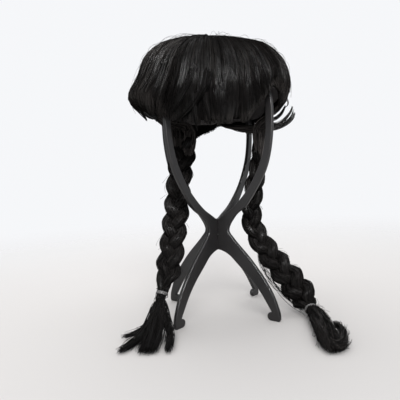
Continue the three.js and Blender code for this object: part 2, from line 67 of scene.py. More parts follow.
# Camera, fitted to the photograph's square frame: side and focal length in pixels, angles in degrees
IMAGE_SIDE = 400
FOCAL_PIXELS = 442.55
CAMERA_PLACE = (0.0, -540.98, 170.25)
CAMERA_PITCH = 3.42
CAMERA_PAN = 2.06
CAMERA_ROLL = 2.75
SENSOR_WIDTH = 36.0

# Stand: turn of each panel, heights and slots, and the edges of an arm and of a leg in the panel's plane
PANEL_TURNS = {"stand_panel_a": 52.1, "stand_panel_b": -37.9}
STAND_HEIGHT = 324.0
ARM_WIDTH = 8.5
UPPER_CROTCH_Z = 113.7
LOWER_CROTCH_Z = 76.4
WAIST_JOINT_Z = 95.0
SLOT_HALF = 2.65
JOINT_GAP = 0.2
ARM_OUTER = [(84, 237), (83, 214), (79, 190), (72, 170), (59.5, 150), (44, 130), (29, 119), (17.6, 102)]
ARM_INNER = [(75.5, 237), (74.8, 214), (70, 190), (61.2, 170), (48, 150), (28, 130), (11, 119)]
LEG_OUTER = [
    (24.6, 90.5), (44, 71.5), (54.5, 60), (66.5, 45), (75.8, 30), (82.6, 13), (84.1, 5), (83.9, 1.6),
    (82.4, 0),
]
LEG_INNER = [(72.5, 12), (60.5, 30), (47.5, 45), (30.5, 60), (16.5, 71.5)]
TOE_MIDDLE = 72.8
TOE_RADIUS = 4.8

# Cap: a thin oval dome, its skins, the rows of sewn strips inside it, and its rim by angle
CAP_HALF_WIDTH = 85.0
CAP_HALF_LENGTH = 88.5
CAP_BASE_Z = 237.0
CAP_RISE = 88.0
CAP_WALL = 2.0
CAP_OUTER = CAP_WALL - 0.2
CAP_INNER = 0.4
CAP_GRID = (96, 45)
STRIP_ROWS = 13
STRIP_HEIGHT = 0.5
CAP_RIM = [(0, 264), (50, 260), (95, 259), (140, 240), (180, 238)]

# Outer line of the hair at angles round the head, from the crown to the hem: reach and height
HAIR_LINES = [
    (-180, [0, 25, 45, 62, 76, 87, 93, 96, 96.5, 95.5, 94, 91],
     [333, 332.5, 329.5, 323, 312, 297, 281, 266, 254, 245, 237, 229]),
    (-164, [0, 25, 45, 62, 76, 87, 93, 96, 96.5, 95.5, 93.5, 90],
     [333, 332.5, 330, 324, 313, 298, 281.5, 266, 252, 240, 229.5, 219]),
    (-150, [0, 25, 45, 62, 76, 87, 93, 96, 96, 95.5, 93, 89.5],
     [333, 332.5, 330.5, 325, 314, 299, 282, 266, 252, 240.5, 230, 220]),
    (-134, [0, 25, 45, 61, 73.5, 83, 90, 95.5, 96, 94, 92, 90.5],
     [333, 332.5, 331, 326.5, 317.5, 303.5, 287.5, 272, 260, 251.5, 244.5, 237.5]),
    (-120, [0, 25, 45, 60.5, 72, 80.5, 87.5, 96, 96.5, 94, 90.5, 86.5],
     [333, 332.5, 330.5, 326, 317, 304, 289, 272.5, 262, 253.5, 247.5, 241.5]),
    (-104, [0, 25, 44.5, 60, 71.5, 79, 85.5, 96, 97.5, 92, 84, 73.5],
     [333, 332.5, 330, 325.5, 316.5, 305, 290, 272.5, 262.5, 253.5, 247.5, 242]),
    (-86, [0, 25, 44.5, 60, 71.5, 79, 85, 96.5, 98, 92, 83.5, 72.5],
     [333, 332, 329, 324, 315.5, 304, 288.5, 272, 262.5, 253.5, 247.5, 242]),
    (-66, [0, 24.5, 44, 59.5, 71.5, 80, 86, 94, 96, 92, 85, 75.5],
     [333, 331, 326, 320.5, 312.5, 301.5, 286.5, 271, 262.5, 253, 246.5, 240.5]),
    (-48, [0, 24.5, 44, 59.5, 72.5, 81, 86.5, 91.5, 94.5, 94, 91, 86.5],
     [333, 330, 324.5, 318, 310, 297, 282.5, 269.5, 262, 252.5, 244, 236]),
    (-34, [0, 24.5, 44, 60.5, 73.5, 83, 88, 92, 94.5, 94.5, 93, 89.5],
     [333, 329, 323, 315.5, 306, 292.5, 278.5, 266.5, 258, 247, 237.5, 227]),
    (-14, [0, 24.5, 43.5, 60, 74.5, 85, 90.5, 93.5, 94.5, 94.5, 93, 89],
     [333, 328.5, 322, 314, 303.5, 290.5, 275.5, 262, 252, 240, 229, 220]),
    (-5, [0, 24.5, 43.5, 60, 74.5, 85, 91, 94, 94.5, 94.5, 93, 89],
     [333, 328.5, 322, 314, 303.5, 290.5, 275.5, 262, 252, 240, 228, 217.5]),
    (0, [0, 24.5, 43.5, 60, 74.5, 85.5, 92, 94.5, 95, 94.5, 93, 89],
     [333, 327, 320.5, 313.5, 303.5, 290.5, 276, 262, 252, 240, 227.5, 216.5]),
    (24, [0, 24.5, 43.5, 60, 73, 84, 91, 94, 94, 94, 92.5, 89],
     [333, 327, 320.5, 313.5, 303.5, 291.5, 277, 263, 253, 241, 229, 218]),
    (34, [0, 24.5, 42.5, 59, 72, 83, 89.5, 93, 93, 93, 93, 92],
     [333, 327, 321, 314, 305, 293, 280, 268.5, 262, 254, 247, 240]),
    (44, [0, 24.5, 42.5, 58, 71, 82, 90, 93, 92.5, 92.5, 93.5, 93],
     [333, 327, 321, 315, 305.5, 294.5, 281.5, 271.5, 269, 264, 260.5, 257.5]),
    (58, [0, 24.5, 42.5, 58.5, 71.5, 82, 90, 92.5, 92, 91, 90.5, 89],
     [333, 328, 322, 317, 309, 297.5, 284.5, 272.5, 268, 263.5, 259, 255]),
    (74, [0, 24.5, 43, 58.5, 71.5, 82.5, 90, 93, 91.5, 89, 86, 79],
     [333, 329, 324, 319.5, 311.5, 300, 286, 270.5, 262.5, 254.5, 247, 240.5]),
    (92, [0, 24.5, 43.5, 59, 71, 81.5, 89, 93, 91.5, 88.5, 83, 74],
     [333, 330.5, 326.5, 323, 316, 304.5, 291, 276.5, 266.5, 256.5, 247, 239.5]),
    (114, [0, 25, 43.5, 59.5, 71.5, 81.5, 89, 93.5, 92.5, 89.5, 85, 76],
     [333, 332, 328.5, 324, 316.5, 304, 290, 274.5, 263.5, 254, 246, 238]),
    (134, [0, 25, 45, 61, 73.5, 84, 91, 94, 94.5, 93.5, 92.5, 90],
     [333, 332.5, 330, 324.5, 315, 301, 285, 270, 258, 248.5, 240, 232]),
    (150, [0, 25, 45, 62, 76, 87, 93, 96, 96, 96, 94, 90],
     [333, 332.5, 330, 324, 313, 298, 281, 266, 254, 244, 234, 224]),
    (162, [0, 25, 45, 62, 76, 87, 93, 96, 96, 96, 94, 90],
     [333, 332.5, 329.5, 323.5, 312.5, 297.5, 281, 267, 256, 247, 239.5, 231]),
    (173, [0, 25, 45, 62, 76, 87, 93, 96, 96.5, 96, 94, 91],
     [333, 332.5, 329.5, 323, 312, 297, 281, 267, 257, 249.5, 242.5, 235]),
    (180, [0, 25, 45, 62, 76, 87, 93, 96, 96.5, 95.5, 94, 91],
     [333, 332.5, 329.5, 323, 312, 297, 281, 266, 254, 245, 237, 229]),
]
LINE_STEPS = 67

# Gloss from the crown to the hem in strips of some degrees, and the fringe's painted shade on the same way,
# darkest below its sheen
STREAK_WIDTH = 1.6
HAIR_GLOSS = [
    (0, 0), (0.3, 0), (0.46, 0.12), (0.53, 0.9), (0.56, 1), (0.65, 1), (0.72, 0.1), (0.86, 0.06), (1, 0.6),
]
FRINGE_PAINTED_SHADE = [(0, 1.2), (0.4, 1.1), (0.65, 0.9), (0.74, 0.5), (0.86, 0.5), (0.95, 1), (1, 1)]

# Hair pieces: their span of angles, number of locks, depth and tones of the layer below, and seeds
HAIR_SPANS = {
    "hair_left": {
        "low": -185, "high": -31, "locks": 51, "deep": 3.3, "tones": (2.4, 5.6), "seed": 11, "lock_seed": 16,
    },
    "hair_right": {
        "low": 33, "high": 184, "locks": 50, "deep": 3.7, "tones": (2.4, 5.6), "seed": 23, "lock_seed": 28,
    },
    "fringe": {
        "low": -36, "high": 36, "locks": 30, "deep": 2.9, "tones": (1.4, 4.2), "seed": 37, "lock_seed": 42,
    },
}

# Lie of the fibres on the head. Parts of the way run from 0 at the crown to 1 at the hem, swings are in
# degrees and depths in millimetres. A sheaf is a few locks that move together
FIBRE_STEPS = 14
SHEAF_LOCKS = 4
FIRST_ROOT = 0.004
ROOT_SPREAD = 0.6
LOCK_SHORT = 0.03
RAGGED_ENDS = 0.08
LOCK_DRAW = 0.66
LOOSE_SHARE = 0.1
LOOSE_SWING = 2.2
LOCK_SWING = 1.5
SHEAF_SWING = 3.0
FIBRE_LAYER = (-2.2, 0.9)
LOCK_DEPTH = 1.1
SHEAF_DEPTH = 1.3
LOOSE_DEPTH = 0.35
LOCK_ROUND = 2.2
ROOT_SINK = 2.6
CROWN_LIFT = 1.0
CROWN_THIN = 0.24
THIN_END = 0.5
FRONT_DRIFT = 21
BACK_DRIFT = 2.2
DRIFT_SPANS = ((-2, 24), (-40, 48))

# Spans of angles: a middle, the distance from it where a change starts, and the width of the change
BACK_SPAN = (0, 140, 15)
FRONT_SPAN = (10, 26, 18)
SIDE_SPAN = (0, 42, 14)
BACK_EVEN = 0.7

# Shades of the fibres, from 0 for the darkest to 1 for the warmest
LOCK_SHADE = 0.45
FIBRE_SHADE = 0.55
BRIGHT_SHARE = 0.035
BRIGHT_SHADE = (0.8, 1.0)
CROWN_SHADE = 0.4
CROWN_CONTRAST = 0.1
SIDE_SHADE = 0.15
# Painted light on the ends of the fibres: where it starts at the front, how much sooner on the sides, the
# span of angles for that, its blend and its shade
PAINTED_LIGHT_ENDS = {"front": 0.85, "sooner": 0.17, "span": (12, 24, 16), "blend": 0.12, "shade": (0.25, 1.0)}

# Gloss of the fibres: strips of dull and bright ones, with wider places of more or less sheen
LOCK_GLOSS = (0.4, 1.25)
SHEAF_GLOSS = (0.7, 1.2)
FIBRE_GLOSS = (0.4, 1.5)
MOST_GLOSS = 1.15
DULL_STRIPS = 0.42
DULL_GLOSS = (0.0, 0.25)
BRIGHT_GLOSS = (0.8, 1.7)
LOCK_SLIP = 0.04
STRIP_SLIP = 0.075
SIDE_DULLING = 0.55
SHEEN_PLACES = [(20, 18, 0.9), (-26, 24, -0.25)]
# The gleam left of the crown: its angle and place take more gloss, and there the fibres are made lighter as a
# painted highlight
GLEAM_ANGLE = (-42, 28)
GLEAM_PLACE = (0.34, 0.11)
GLEAM_GLOSS = 2.3

# Deep layer under the fibres: columns and rows, its reach from crown to hem, and its wall
SHELL_GRID = (76, 22)
SHELL_REACH = (0.035, 0.955)
SHELL_BACK_DROP = 0.042
SHELL_THIN = 0.34
SHELL_WALL = 1.2

# Hair drawn under the hem into the head of each plait: spans of angles with their share of the fibres,
# the place where it gathers, its spread there, and how many of the plait's steps it runs down. Its lift
# is how much lighter its colour is, and with its light shades it is painted light in the shade under the hem
GATHER_SPANS = {
    "left": {
        "spans": [(-112, -56, 1.0), (-166, -140, 0.4)],
        "head": (-37.5, 14, 224),
        "neck": (7.0, 4.8, 2),
        "reach": 9,
        "seed": 41,
    },
    "right": {
        "spans": [(78, 122, 1.0), (150, 172, 0.35)],
        "head": (58, 18, 219),
        "neck": (3.4, 3.4, 2),
        "reach": 5,
        "seed": 43,
    },
}
GATHER_STEPS = 13
GATHER_PLAIT_STEPS = 60
GATHER_START = (0.86, 0.97)
GATHER_SAG = 1.5
NECK_RISE = 4
GATHER_THICKNESS = 1.2
GATHER_PAINTED_FILL = 7.5
GATHER_SHADE = (0.55, 1.0)
GATHER_GLOSS = 0.06

# Locks laid one by one: steps along a fibre, share of the spread left at the tip, and fineness
LOCK_STEPS = 15
LOCK_TIP = 0.25
LOCK_FINENESS = 0.9

# Short ends that flip out below the hem: points along each, number of fibres, and spread
FLIP_ENDS = {
    "hair_left": [
        ([(-86, -16, 248), (-81, -17, 242), (-78, -17, 238), (-77, -17, 234.5)], 16, 0.9),
        ([(-78, -24, 244), (-71, -26, 239), (-65, -27, 236), (-61.5, -27, 231.5)], 20, 1.0),
        ([(-82, -8, 245), (-75, -12, 240), (-70, -13, 238), (-66, -13, 238)], 16, 0.9),
        ([(-74, -36, 243), (-69, -38, 238), (-65, -39, 235), (-62, -39, 230.5)], 18, 1.0),
        ([(-66, -50, 243), (-63, -51, 236), (-60, -51, 231), (-58, -50, 227)], 18, 1.0),
    ],
    "hair_right": [
        ([(66, -6, 247), (66, -9, 229), (70, -12, 219.5), (79.5, -13, 220.5),
          (89, -13, 225), (95, -13, 231), (97, -13, 236.5)], 50, 1.4),
        ([(66, -3, 247), (67, -8, 231), (71, -13, 220), (80, -14, 222),
          (88, -14, 227), (93.5, -14, 233.5), (95.5, -14, 240)], 36, 1.1),
        ([(67, -1, 248), (67, -7, 234), (71, -10, 223.5), (81, -11, 226),
          (88, -11, 232), (93, -10, 238.5), (95, -10, 244.5)], 48, 1.4),
        ([(68, 1, 250), (68, -5, 239), (71.5, -8, 230), (80, -9, 234.5),
          (85, -8, 241), (87, -8, 246)], 38, 1.4),
        ([(69, 2, 252), (69, -3, 245), (72, -6, 238), (78, -6, 242), (83, -5, 248)], 30, 1.4),
        ([(85, -8, 258), (88.3, -10, 253.5), (89.8, -11, 249), (88.8, -11, 245), (85, -10, 242)], 7, 0.5),
    ],
}

# Locks that lie over the fringe: points along each, number of fibres, and spread, with their finish
FRINGE_LOCKS = [
    ([(-2, -93, 272), (-5.6, -96, 258), (-11, -96.5, 249), (-17, -95.5, 241),
      (-25, -93.2, 233), (-33, -89.5, 227), (-39, -86, 223)], 70, 2.3),
    ([(-17, -93.5, 250), (-16.8, -95.5, 238), (-16.2, -95.3, 226), (-15.8, -93, 213.5)], 40, 1.4),
    ([(-6, -95, 256), (-5.3, -96, 244), (-3, -95.5, 231), (-2, -93, 218)], 32, 1.3),
    ([(-16, -88, 276), (-24, -91.5, 258), (-33, -90, 244), (-42, -85.5, 232)], 44, 2.0),
]
FRINGE_FINISH = {"shade": (0.0, 0.75), "gloss": (0.0, 0.25)}

# Plaits: length in which a strand comes round, gap between strands, twist and looks of the fibres on
# them, core under the fibres, centre lines, and size of the plait along its length
STRAND_CYCLE = 72.0
STRAND_GAP = 0.5
STRAND_LEAST = 0.6
STRAND_TWIST = 2.2
STRAND_SHADE = (0.3, 0.92)
STRAND_BRIGHT_SHARE = 0.06
STRAND_GLOSS = (0.0, 0.42)
CORE_SHARE = 0.985
FLOW_LENGTH = 100.0
PLAIT_SEEDS = {"left": 61, "right": 71}
PLAIT_LINES = {
    "left": [
        (-37.5, 14, 222), (-37.3, 11, 204), (-43, 3, 170), (-47, -7, 135), (-52, -19, 101), (-57.6, -33, 66),
        (-66, -48, 37),
    ],
    "right": [
        (58.5, 18, 217), (56, 20, 186), (49.5, 23, 150), (44.5, 25, 122), (48, 23, 94), (63.5, 14, 66.5),
        (84.5, -6, 38.5), (98, -24, 19), (102.5, -37, 9.6),
    ],
}
PLAIT_SIZE = {
    "left": [(0, 1.04), (0.1, 1.02), (0.85, 0.97), (1, 0.4)],
    "right": [
        (0, 0.48), (0.14, 0.64), (0.3, 0.8), (0.5, 0.87), (0.72, 1.03), (0.88, 1.18), (0.94, 1.04), (1, 0.42),
    ],
}

# Ties: half the size of the ring, turns of the elastic, and its rise and slack
TIE_HALF = {"left": 5.9, "right": 6.2}
TIE_TURNS = 3.1
TIE_STEPS = 90
TIE_RISE = 1.6
TIE_SLACK = 0.35

# Loose ends: points along a fibre, and how their colour is lifted, shaded and glossed
TAIL_STEPS = {"left": 15, "right": 17}
TAIL_LIFT = {"left": 1.5, "right": 2.8}
TAIL_SHADE = {"left": (0.2, 0.8), "right": (0.5, 1.0)}
TAIL_GLOSS = (0.1, 0.6)
TAIL_SEEDS = {"left": 83, "right": 89}

# Loose ends of the left plait: points along each lock, share of the fibres, and spread at its tip
TAIL_LOCKS_LEFT = [
    ([(-70.5, -59, 26), (-74.5, -70, 17), (-85, -82, 6.5), (-102.5, -91, 3.8)], 0.9, 1.7),
    ([(-70.5, -60, 26), (-75, -74, 16), (-82, -92, 7), (-90, -110, 4), (-98.5, -127, 3.5)], 1.3, 1.7),
    ([(-69, -61, 26), (-72, -76, 16), (-75.5, -98, 7), (-78.5, -130, 3)], 1.3, 1.8),
    ([(-68, -60, 27), (-68.5, -76, 17), (-70.5, -100, 8), (-72, -131, 3)], 1.5, 1.9),
    ([(-66, -61, 27), (-65, -76, 16), (-65, -100, 7), (-66, -129, 3)], 1.3, 1.8),
    ([(-64.5, -61, 27), (-60, -76, 17), (-54.5, -92, 8), (-52.5, -112, 5), (-53, -130, 3)], 1.1, 1.6),
]

# Loose ends of the right plait: the body that runs forward, and the lock that hooks back beside it
TAIL_RUNS_RIGHT = [
    {
        "spine": [
            (102.5, -37, 9.6), (105, -52, 9), (104.8, -72, 8.5), (103.6, -92, 8), (102.8, -112, 7),
            (100.8, -131, 6), (99.8, -146, 4.5),
        ],
        "half_width": [4.4, 7, 8.8, 9.2, 9.6, 8.6, 5],
        "half_height": [4.4, 6.5, 7.5, 7.5, 7, 6, 4],
        "share": 0.62,
        "sway": 1.5,
    },
    {
        "spine": [
            (103, -38, 9.5), (107, -62, 9.5), (107, -90, 8.5), (105, -114, 7), (102, -131, 6),
            (104.5, -139, 5.5), (110, -134, 5.5), (115.2, -123.5, 5.5), (119.3, -110, 6), (121.3, -98, 6.5),
            (120.3, -88, 7), (115.5, -84, 8),
        ],
        "half_width": [4, 5, 5, 4.8, 4.8, 4.8, 4.4, 3.8, 2.9, 2.3, 2.2, 1.8],
        "half_height": [4, 5, 5, 4.8, 4.6, 4.6, 4.4, 4.2, 3.8, 3.2, 2.8, 2.4],
        "share": 0.38,
        "sway": 0.3,
    },
]

# Stray hairs over the crown, with their half thickness
STRAY_SEED = 97
CROWN_STRAYS = {"number": 110, "steps": 9, "thick": 0.13}

# Fuzz on each bundle of fibres: its number, how far it bows, the lowest it may lie, its half thickness,
# its longest run of steps, and its gloss. It leaves thinned out bundles with fewer fibres
FUZZ_BUNDLE = 160
FUZZ_STRAND = 8
FUZZ_RADIUS = 0.1
FUZZ_TAIL_CORE = 0.85
FUZZ_FLOOR = 0.6
FUZZ = {
    "head": {"number": 115, "reach": 7.0},
    "plait": {"number": 60, "reach": 7.5, "floor": FUZZ_FLOOR},
    "left tail": {
        "number": 55, "reach": 5.0, "floor": FUZZ_FLOOR, "thick": 0.18, "longest": 4, "gloss": 0.15,
    },
    "right tail": {
        "number": 640, "reach": 5.5, "floor": FUZZ_FLOOR, "thick": 0.2, "longest": 4, "gloss": 0.2,
    },
}

# Stray hairs that hang free beside the lower end of the right plait
STRAY_BUNCH = 24
STRAY_STEPS = 16
STRAY_THICK = 0.2
STRAY_GLOSS = 0.2
STRAY_LINE = [
    (54, 20, 84), (54.5, 15, 58), (59.5, 9, 42), (67.5, 2, 30), (77.5, -8, 19.5), (87, -20, 11.5),
    (96, -32, 6),
]

# Finish of the fibres, from dull to glossy ones, and where on the way from the dark to the warm colour
# a share of the warm one has come in
FIBRE_FINISH = {"Roughness": (0.8, 0.19), "Specular IOR Level": (0.0, 0.25)}
WARMING_SHADE = 0.7
WARMING_SHARE = 0.2

# Hair surfaces under the fibres: stretch of the streaks across and along, tones as multiples of the dark
# colour, depth of the streaks in metres, roughness, and gloss
DEEP_HAIR = {"stretch": (420, 5, 1), "depth": 0.0006, "roughness": 0.85, "gloss": 0.02}
PLAITED_HAIR = {"stretch": (34, 9, 1), "tones": (3.2, 7.0), "depth": 0.0005, "roughness": 0.45, "gloss": 0.09}

# Floor and where it fades into the backdrop, in metres, and the colour of the room's light
FLOOR_RADIUS = 6.0
FLOOR_FADE = (0.05, 1.2)
ROOM_COLOUR = (0.95, 0.97, 1.0)

# Lights: name, place, the power it takes and its share of that, width in metres, height of its aim,
# spread in degrees, whether it shows in reflections, and whether it spares the floor
LIGHTS = [
    ("top_light", (-200, 500, 2000), "top_power", 1.0, 2.6, 200, 180, False, False),
    ("rim_light", (-300, 1200, 1800), "top_power", 0.32, 1.6, 200, 180, True, False),
    ("front_light", (120, -1245, 1040), "key_power", 1.4, 1.4, 300, 48, False, False),
    ("key_light", (120, -1245, 1040), "key_power", 1.75, 0.4, 300, 32, True, True),
    ("low_light", (-100, -1500, 330), "key_power", 0.55, 1.0, 300, 48, False, True),
    ("back_light", (-150, 1300, 900), "key_power", 3.2, 1.4, 300, 48, False, True),
]


class StandSettings(bpy.types.PropertyGroup):
    """Sizes and colour of the two slotted panels."""

    thickness: FloatProperty(
        name="Thickness", description="Thickness of a panel", default=0.0045, unit="LENGTH"
    )
    edge_radius: FloatProperty(
        name="Edge radius", description="Rounding of a panel's edges", default=0.0009, unit="LENGTH"
    )
    colour: FloatVectorProperty(
        name="Colour", description="Colour of the plastic", default=(0.0034, 0.0031, 0.0032),
        subtype="COLOR", min=0, max=1,
    )


class HairSettings(bpy.types.PropertyGroup):
    """Numbers, sizes and colours of the hair on the head."""

    side_fibres: IntProperty(
        name="Side fibres", description="Fibres on each side of the head", default=2000, min=1
    )
    fringe_fibres: IntProperty(
        name="Fringe fibres", description="Fibres in the fringe", default=1900, min=1
    )
    gather_fibres: IntProperty(
        name="Gathered fibres", description="Fibres drawn into each plait", default=420, min=1
    )
    fibre_radius: FloatProperty(
        name="Fibre radius", description="Half thickness of a fibre", default=0.0004, unit="LENGTH"
    )
    dark_colour: FloatVectorProperty(
        name="Dark colour", description="Colour of most fibres", default=(0.00105, 0.00097, 0.00095),
        subtype="COLOR", min=0, max=1,
    )
    warm_colour: FloatVectorProperty(
        name="Warm colour", description="Colour of the lightest fibres",
        default=(0.008, 0.0072, 0.0068), subtype="COLOR", min=0, max=1,
    )


class PlaitSettings(bpy.types.PropertyGroup):
    """Sizes of the plaits and of their loose ends."""

    strand_fibres: IntProperty(
        name="Strand fibres", description="Fibres on each strand of a plait", default=44, min=1
    )
    tail_fibres: IntProperty(name="Tail fibres", description="Fibres below each tie", default=620, min=1)
    fibre_radius: FloatProperty(
        name="Fibre radius", description="Half thickness of a fibre", default=0.0004, unit="LENGTH"
    )
    sway: FloatProperty(
        name="Sway", description="Sideways swing of a strand", default=0.0078, unit="LENGTH"
    )
    lift: FloatProperty(
        name="Lift", description="Swing of a strand through the plait", default=0.0047, unit="LENGTH"
    )
    half_width: FloatProperty(
        name="Half width", description="Half the width of a strand", default=0.0078, unit="LENGTH"
    )
    half_thickness: FloatProperty(
        name="Half thickness", description="Half the thickness of a strand", default=0.0068,
        unit="LENGTH",
    )
    tie_wire: FloatProperty(
        name="Tie thickness", description="Half thickness of the elastic", default=0.0008,
        unit="LENGTH",
    )
    tie_colour: FloatVectorProperty(
        name="Tie colour", description="Colour of the elastic", default=(0.044, 0.0425, 0.042),
        subtype="COLOR", min=0, max=1,
    )


class StageSettings(bpy.types.PropertyGroup):
    """Light and colour of the stage."""

    floor_colour: FloatVectorProperty(
        name="Floor colour", description="Colour of the floor", default=(0.725, 0.7, 0.682),
        subtype="COLOR", min=0, max=1,
    )
    back_colour: FloatVectorProperty(
        name="Background", description="Colour behind the object", default=(0.92, 0.93, 0.95),
        subtype="COLOR", min=0, max=1,
    )
    top_power: FloatProperty(
        name="Top light", description="Power of the large light overhead", default=21.0,
        subtype="POWER",
    )
    key_power: FloatProperty(
        name="Key light", description="Power of the softbox above the front", default=2.5,
        subtype="POWER",
    )
    fill_strength: FloatProperty(
        name="Fill light", description="Strength of the light from all round", default=0.5
    )
    gloss_strength: FloatProperty(
        name="Reflected room", description="Strength of the room in reflections", default=0.8
    )


def to_row(points):
    """Points about the stand's axis in millimetres, as metres in the row's frame."""
    return (np.asarray(points, float) + AXIS) * MM


def spline_weights(count, samples):
    """Weights of count control points at evenly spread samples of one smooth curve."""
    weights = np.zeros((samples, count))
    for row, place in enumerate(np.linspace(0, count - 1, samples)):
        i = min(int(place), count - 2)
        u = place - i
        basis = (
            (-u + 2 * u**2 - u**3) / 2,
            (2 - 5 * u**2 + 3 * u**3) / 2,
            (u + 4 * u**2 - 3 * u**3) / 2,
            (-(u**2) + u**3) / 2,
        )
        for step, weight in zip((-1, 0, 1, 2), basis):
            k = i + step
            if k < 0:
                weights[row, 0] += 2 * weight
                weights[row, 1] -= weight
            elif k >= count:
                weights[row, count - 1] += 2 * weight
                weights[row, count - 2] -= weight
            else:
                weights[row, k] += weight
    return weights


def even_curve(points, samples):
    """Smooth curve through points, sampled at even steps along its length."""
    points = np.asarray(points, float)
    fine = spline_weights(len(points), 40 * len(points)) @ points
    lengths = np.concatenate([[0], np.cumsum(np.linalg.norm(np.diff(fine, axis=0), axis=1))])
    places = np.linspace(0, lengths[-1], samples)
    curve = np.stack([np.interp(places, lengths, fine[:, k]) for k in range(fine.shape[1])], axis=1)
    return curve, lengths[-1]


def curves_through(controls, steps):
    """Smooth lines through rows of control points, one row for each line."""
    return np.einsum("sk,nkc->nsc", spline_weights(controls.shape[1], steps), controls)


def table(rows, places):
    """Values of a two-column table, eased between its rows."""
    keys = np.array([row[0] for row in rows], float)
    values = np.array([row[1] for row in rows], float)
    places = np.asarray(places, float)
    i = np.clip(np.searchsorted(keys, places, side="right") - 1, 0, len(keys) - 2)
    part = np.clip((places - keys[i]) / (keys[i + 1] - keys[i]), 0, 1)
    ease = part * part * (3 - 2 * part)
    return values[i] + (values[i + 1] - values[i]) * ease


def waves(rng, count, along, turns):
    """Soft random waves, one row each, about 1 high at most."""
    phase = rng.uniform(0, 2 * math.pi, (count, 3, 1))
    speed = rng.uniform(0.5, 1.5, (count, 3, 1)) * turns * 2 * math.pi
    return np.sin(speed * along[:, None, :] + phase).mean(axis=1) * 1.4


def new_object(name, mesh):
    piece = bpy.data.objects.new(name, mesh)
    bpy.context.scene.collection.objects.link(piece)
    return piece


def settle(piece, slot, *nodes):
    """The piece rides on the object and stands for its solids; its slot is not used."""
    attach(piece, "root")
    if nodes:
        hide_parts(*nodes)
    return piece


def mesh_from(name, points, faces):
    mesh = bpy.data.meshes.new(name)
    mesh.from_pydata([tuple(p) for p in points], [], [tuple(f) for f in faces])
    mesh.update()
    return mesh


def node_material(name):
    material = bpy.data.materials.new(name)
    material.use_nodes = True
    nodes = material.node_tree.nodes
    return material, nodes, material.node_tree.links, nodes["Principled BSDF"]


def add_node(nodes, kind, inputs=None):
    """New node with some of its inputs set."""
    node = nodes.new(kind)
    for name, value in (inputs or {}).items():
        node.inputs[name].default_value = value
    return node


def toned(colour, factor):
    return [factor * c for c in colour]


def two_tones(nodes, low, high, places=(0, 1)):
    """Ramp from one colour to another."""
    ramp = nodes.new("ShaderNodeValToRGB")
    for stop, place, colour in zip(ramp.color_ramp.elements, places, (low, high)):
        stop.position = place
        stop.color = (*colour, 1)
    return ramp


def drawn_out_noise(nodes, links, place, stretch, detail):
    """Noise drawn out across and along a surface."""
    mapping = add_node(nodes, "ShaderNodeMapping", {"Scale": stretch})
    noise = add_node(nodes, "ShaderNodeTexNoise", {"Scale": 1.0, "Detail": detail})
    links.new(place, mapping.inputs["Vector"])
    links.new(mapping.outputs["Vector"], noise.inputs["Vector"])
    return noise


def hair_material(name="silky_black_fibre", lift=1.0):
    """Silky black fibre: each fibre keeps its own shade, from black to a warm dark brown, and in places that
    shade also holds painted light and shade.
    """
    known = bpy.data.materials.get(name)
    if known:
        return known
    looks = bpy.context.scene.wig_hair
    dark = toned(looks.dark_colour, lift)
    warm = toned(looks.warm_colour, lift)
    material, nodes, links, shader = node_material(name)
    shade = nodes.new("ShaderNodeAttribute")
    shade.attribute_name = "shade"
    ramp = two_tones(nodes, dark, warm)
    middle = ramp.color_ramp.elements.new(WARMING_SHADE)
    middle.color = (*[(1 - WARMING_SHARE) * d + WARMING_SHARE * w for d, w in zip(dark, warm)], 1)
    links.new(shade.outputs["Fac"], ramp.inputs["Fac"])
    links.new(ramp.outputs["Color"], shader.inputs["Base Color"])
    gloss = nodes.new("ShaderNodeAttribute")
    gloss.attribute_name = "gloss"
    for socket, (dull, bright) in FIBRE_FINISH.items():
        share = add_node(nodes, "ShaderNodeMapRange", {"To Min": dull, "To Max": bright})
        links.new(gloss.outputs["Fac"], share.inputs["Value"])
        links.new(share.outputs["Result"], shader.inputs[socket])
    shader.inputs["IOR"].default_value = 1.5
    return material


def streak_material(name, stretch, tones, depth, roughness, gloss):
    """Black hair as a surface with fine streaks along its flow and patches of gloss."""
    known = bpy.data.materials.get(name)
    if known:
        return known
    dark = bpy.context.scene.wig_hair.dark_colour
    material, nodes, links, shader = node_material(name)
    place = nodes.new("ShaderNodeUVMap")
    place.uv_map = "flow"
    streaks = drawn_out_noise(nodes, links, place.outputs["UV"], stretch, 3.0)
    colours = two_tones(nodes, toned(dark, tones[0]), toned(dark, tones[1]), (0.35, 0.75))
    bump = add_node(nodes, "ShaderNodeBump", {"Strength": 0.6, "Distance": depth})
    patches = drawn_out_noise(nodes, links, place.outputs["UV"], (1.2, 4.5, 1), 2.0)
    gleam = add_node(nodes, "ShaderNodeMapRange", {"From Min": 0.46, "From Max": 0.7})
    gleam.inputs["To Min"].default_value = 0.15 * gloss
    gleam.inputs["To Max"].default_value = 3.0 * gloss
    links.new(streaks.outputs["Fac"], colours.inputs["Fac"])
    links.new(colours.outputs["Color"], shader.inputs["Base Color"])
    links.new(streaks.outputs["Fac"], bump.inputs["Height"])
    links.new(bump.outputs["Normal"], shader.inputs["Normal"])
    links.new(patches.outputs["Fac"], gleam.inputs["Value"])
    links.new(gleam.outputs["Result"], shader.inputs["Specular IOR Level"])
    shader.inputs["Roughness"].default_value = roughness
    return material


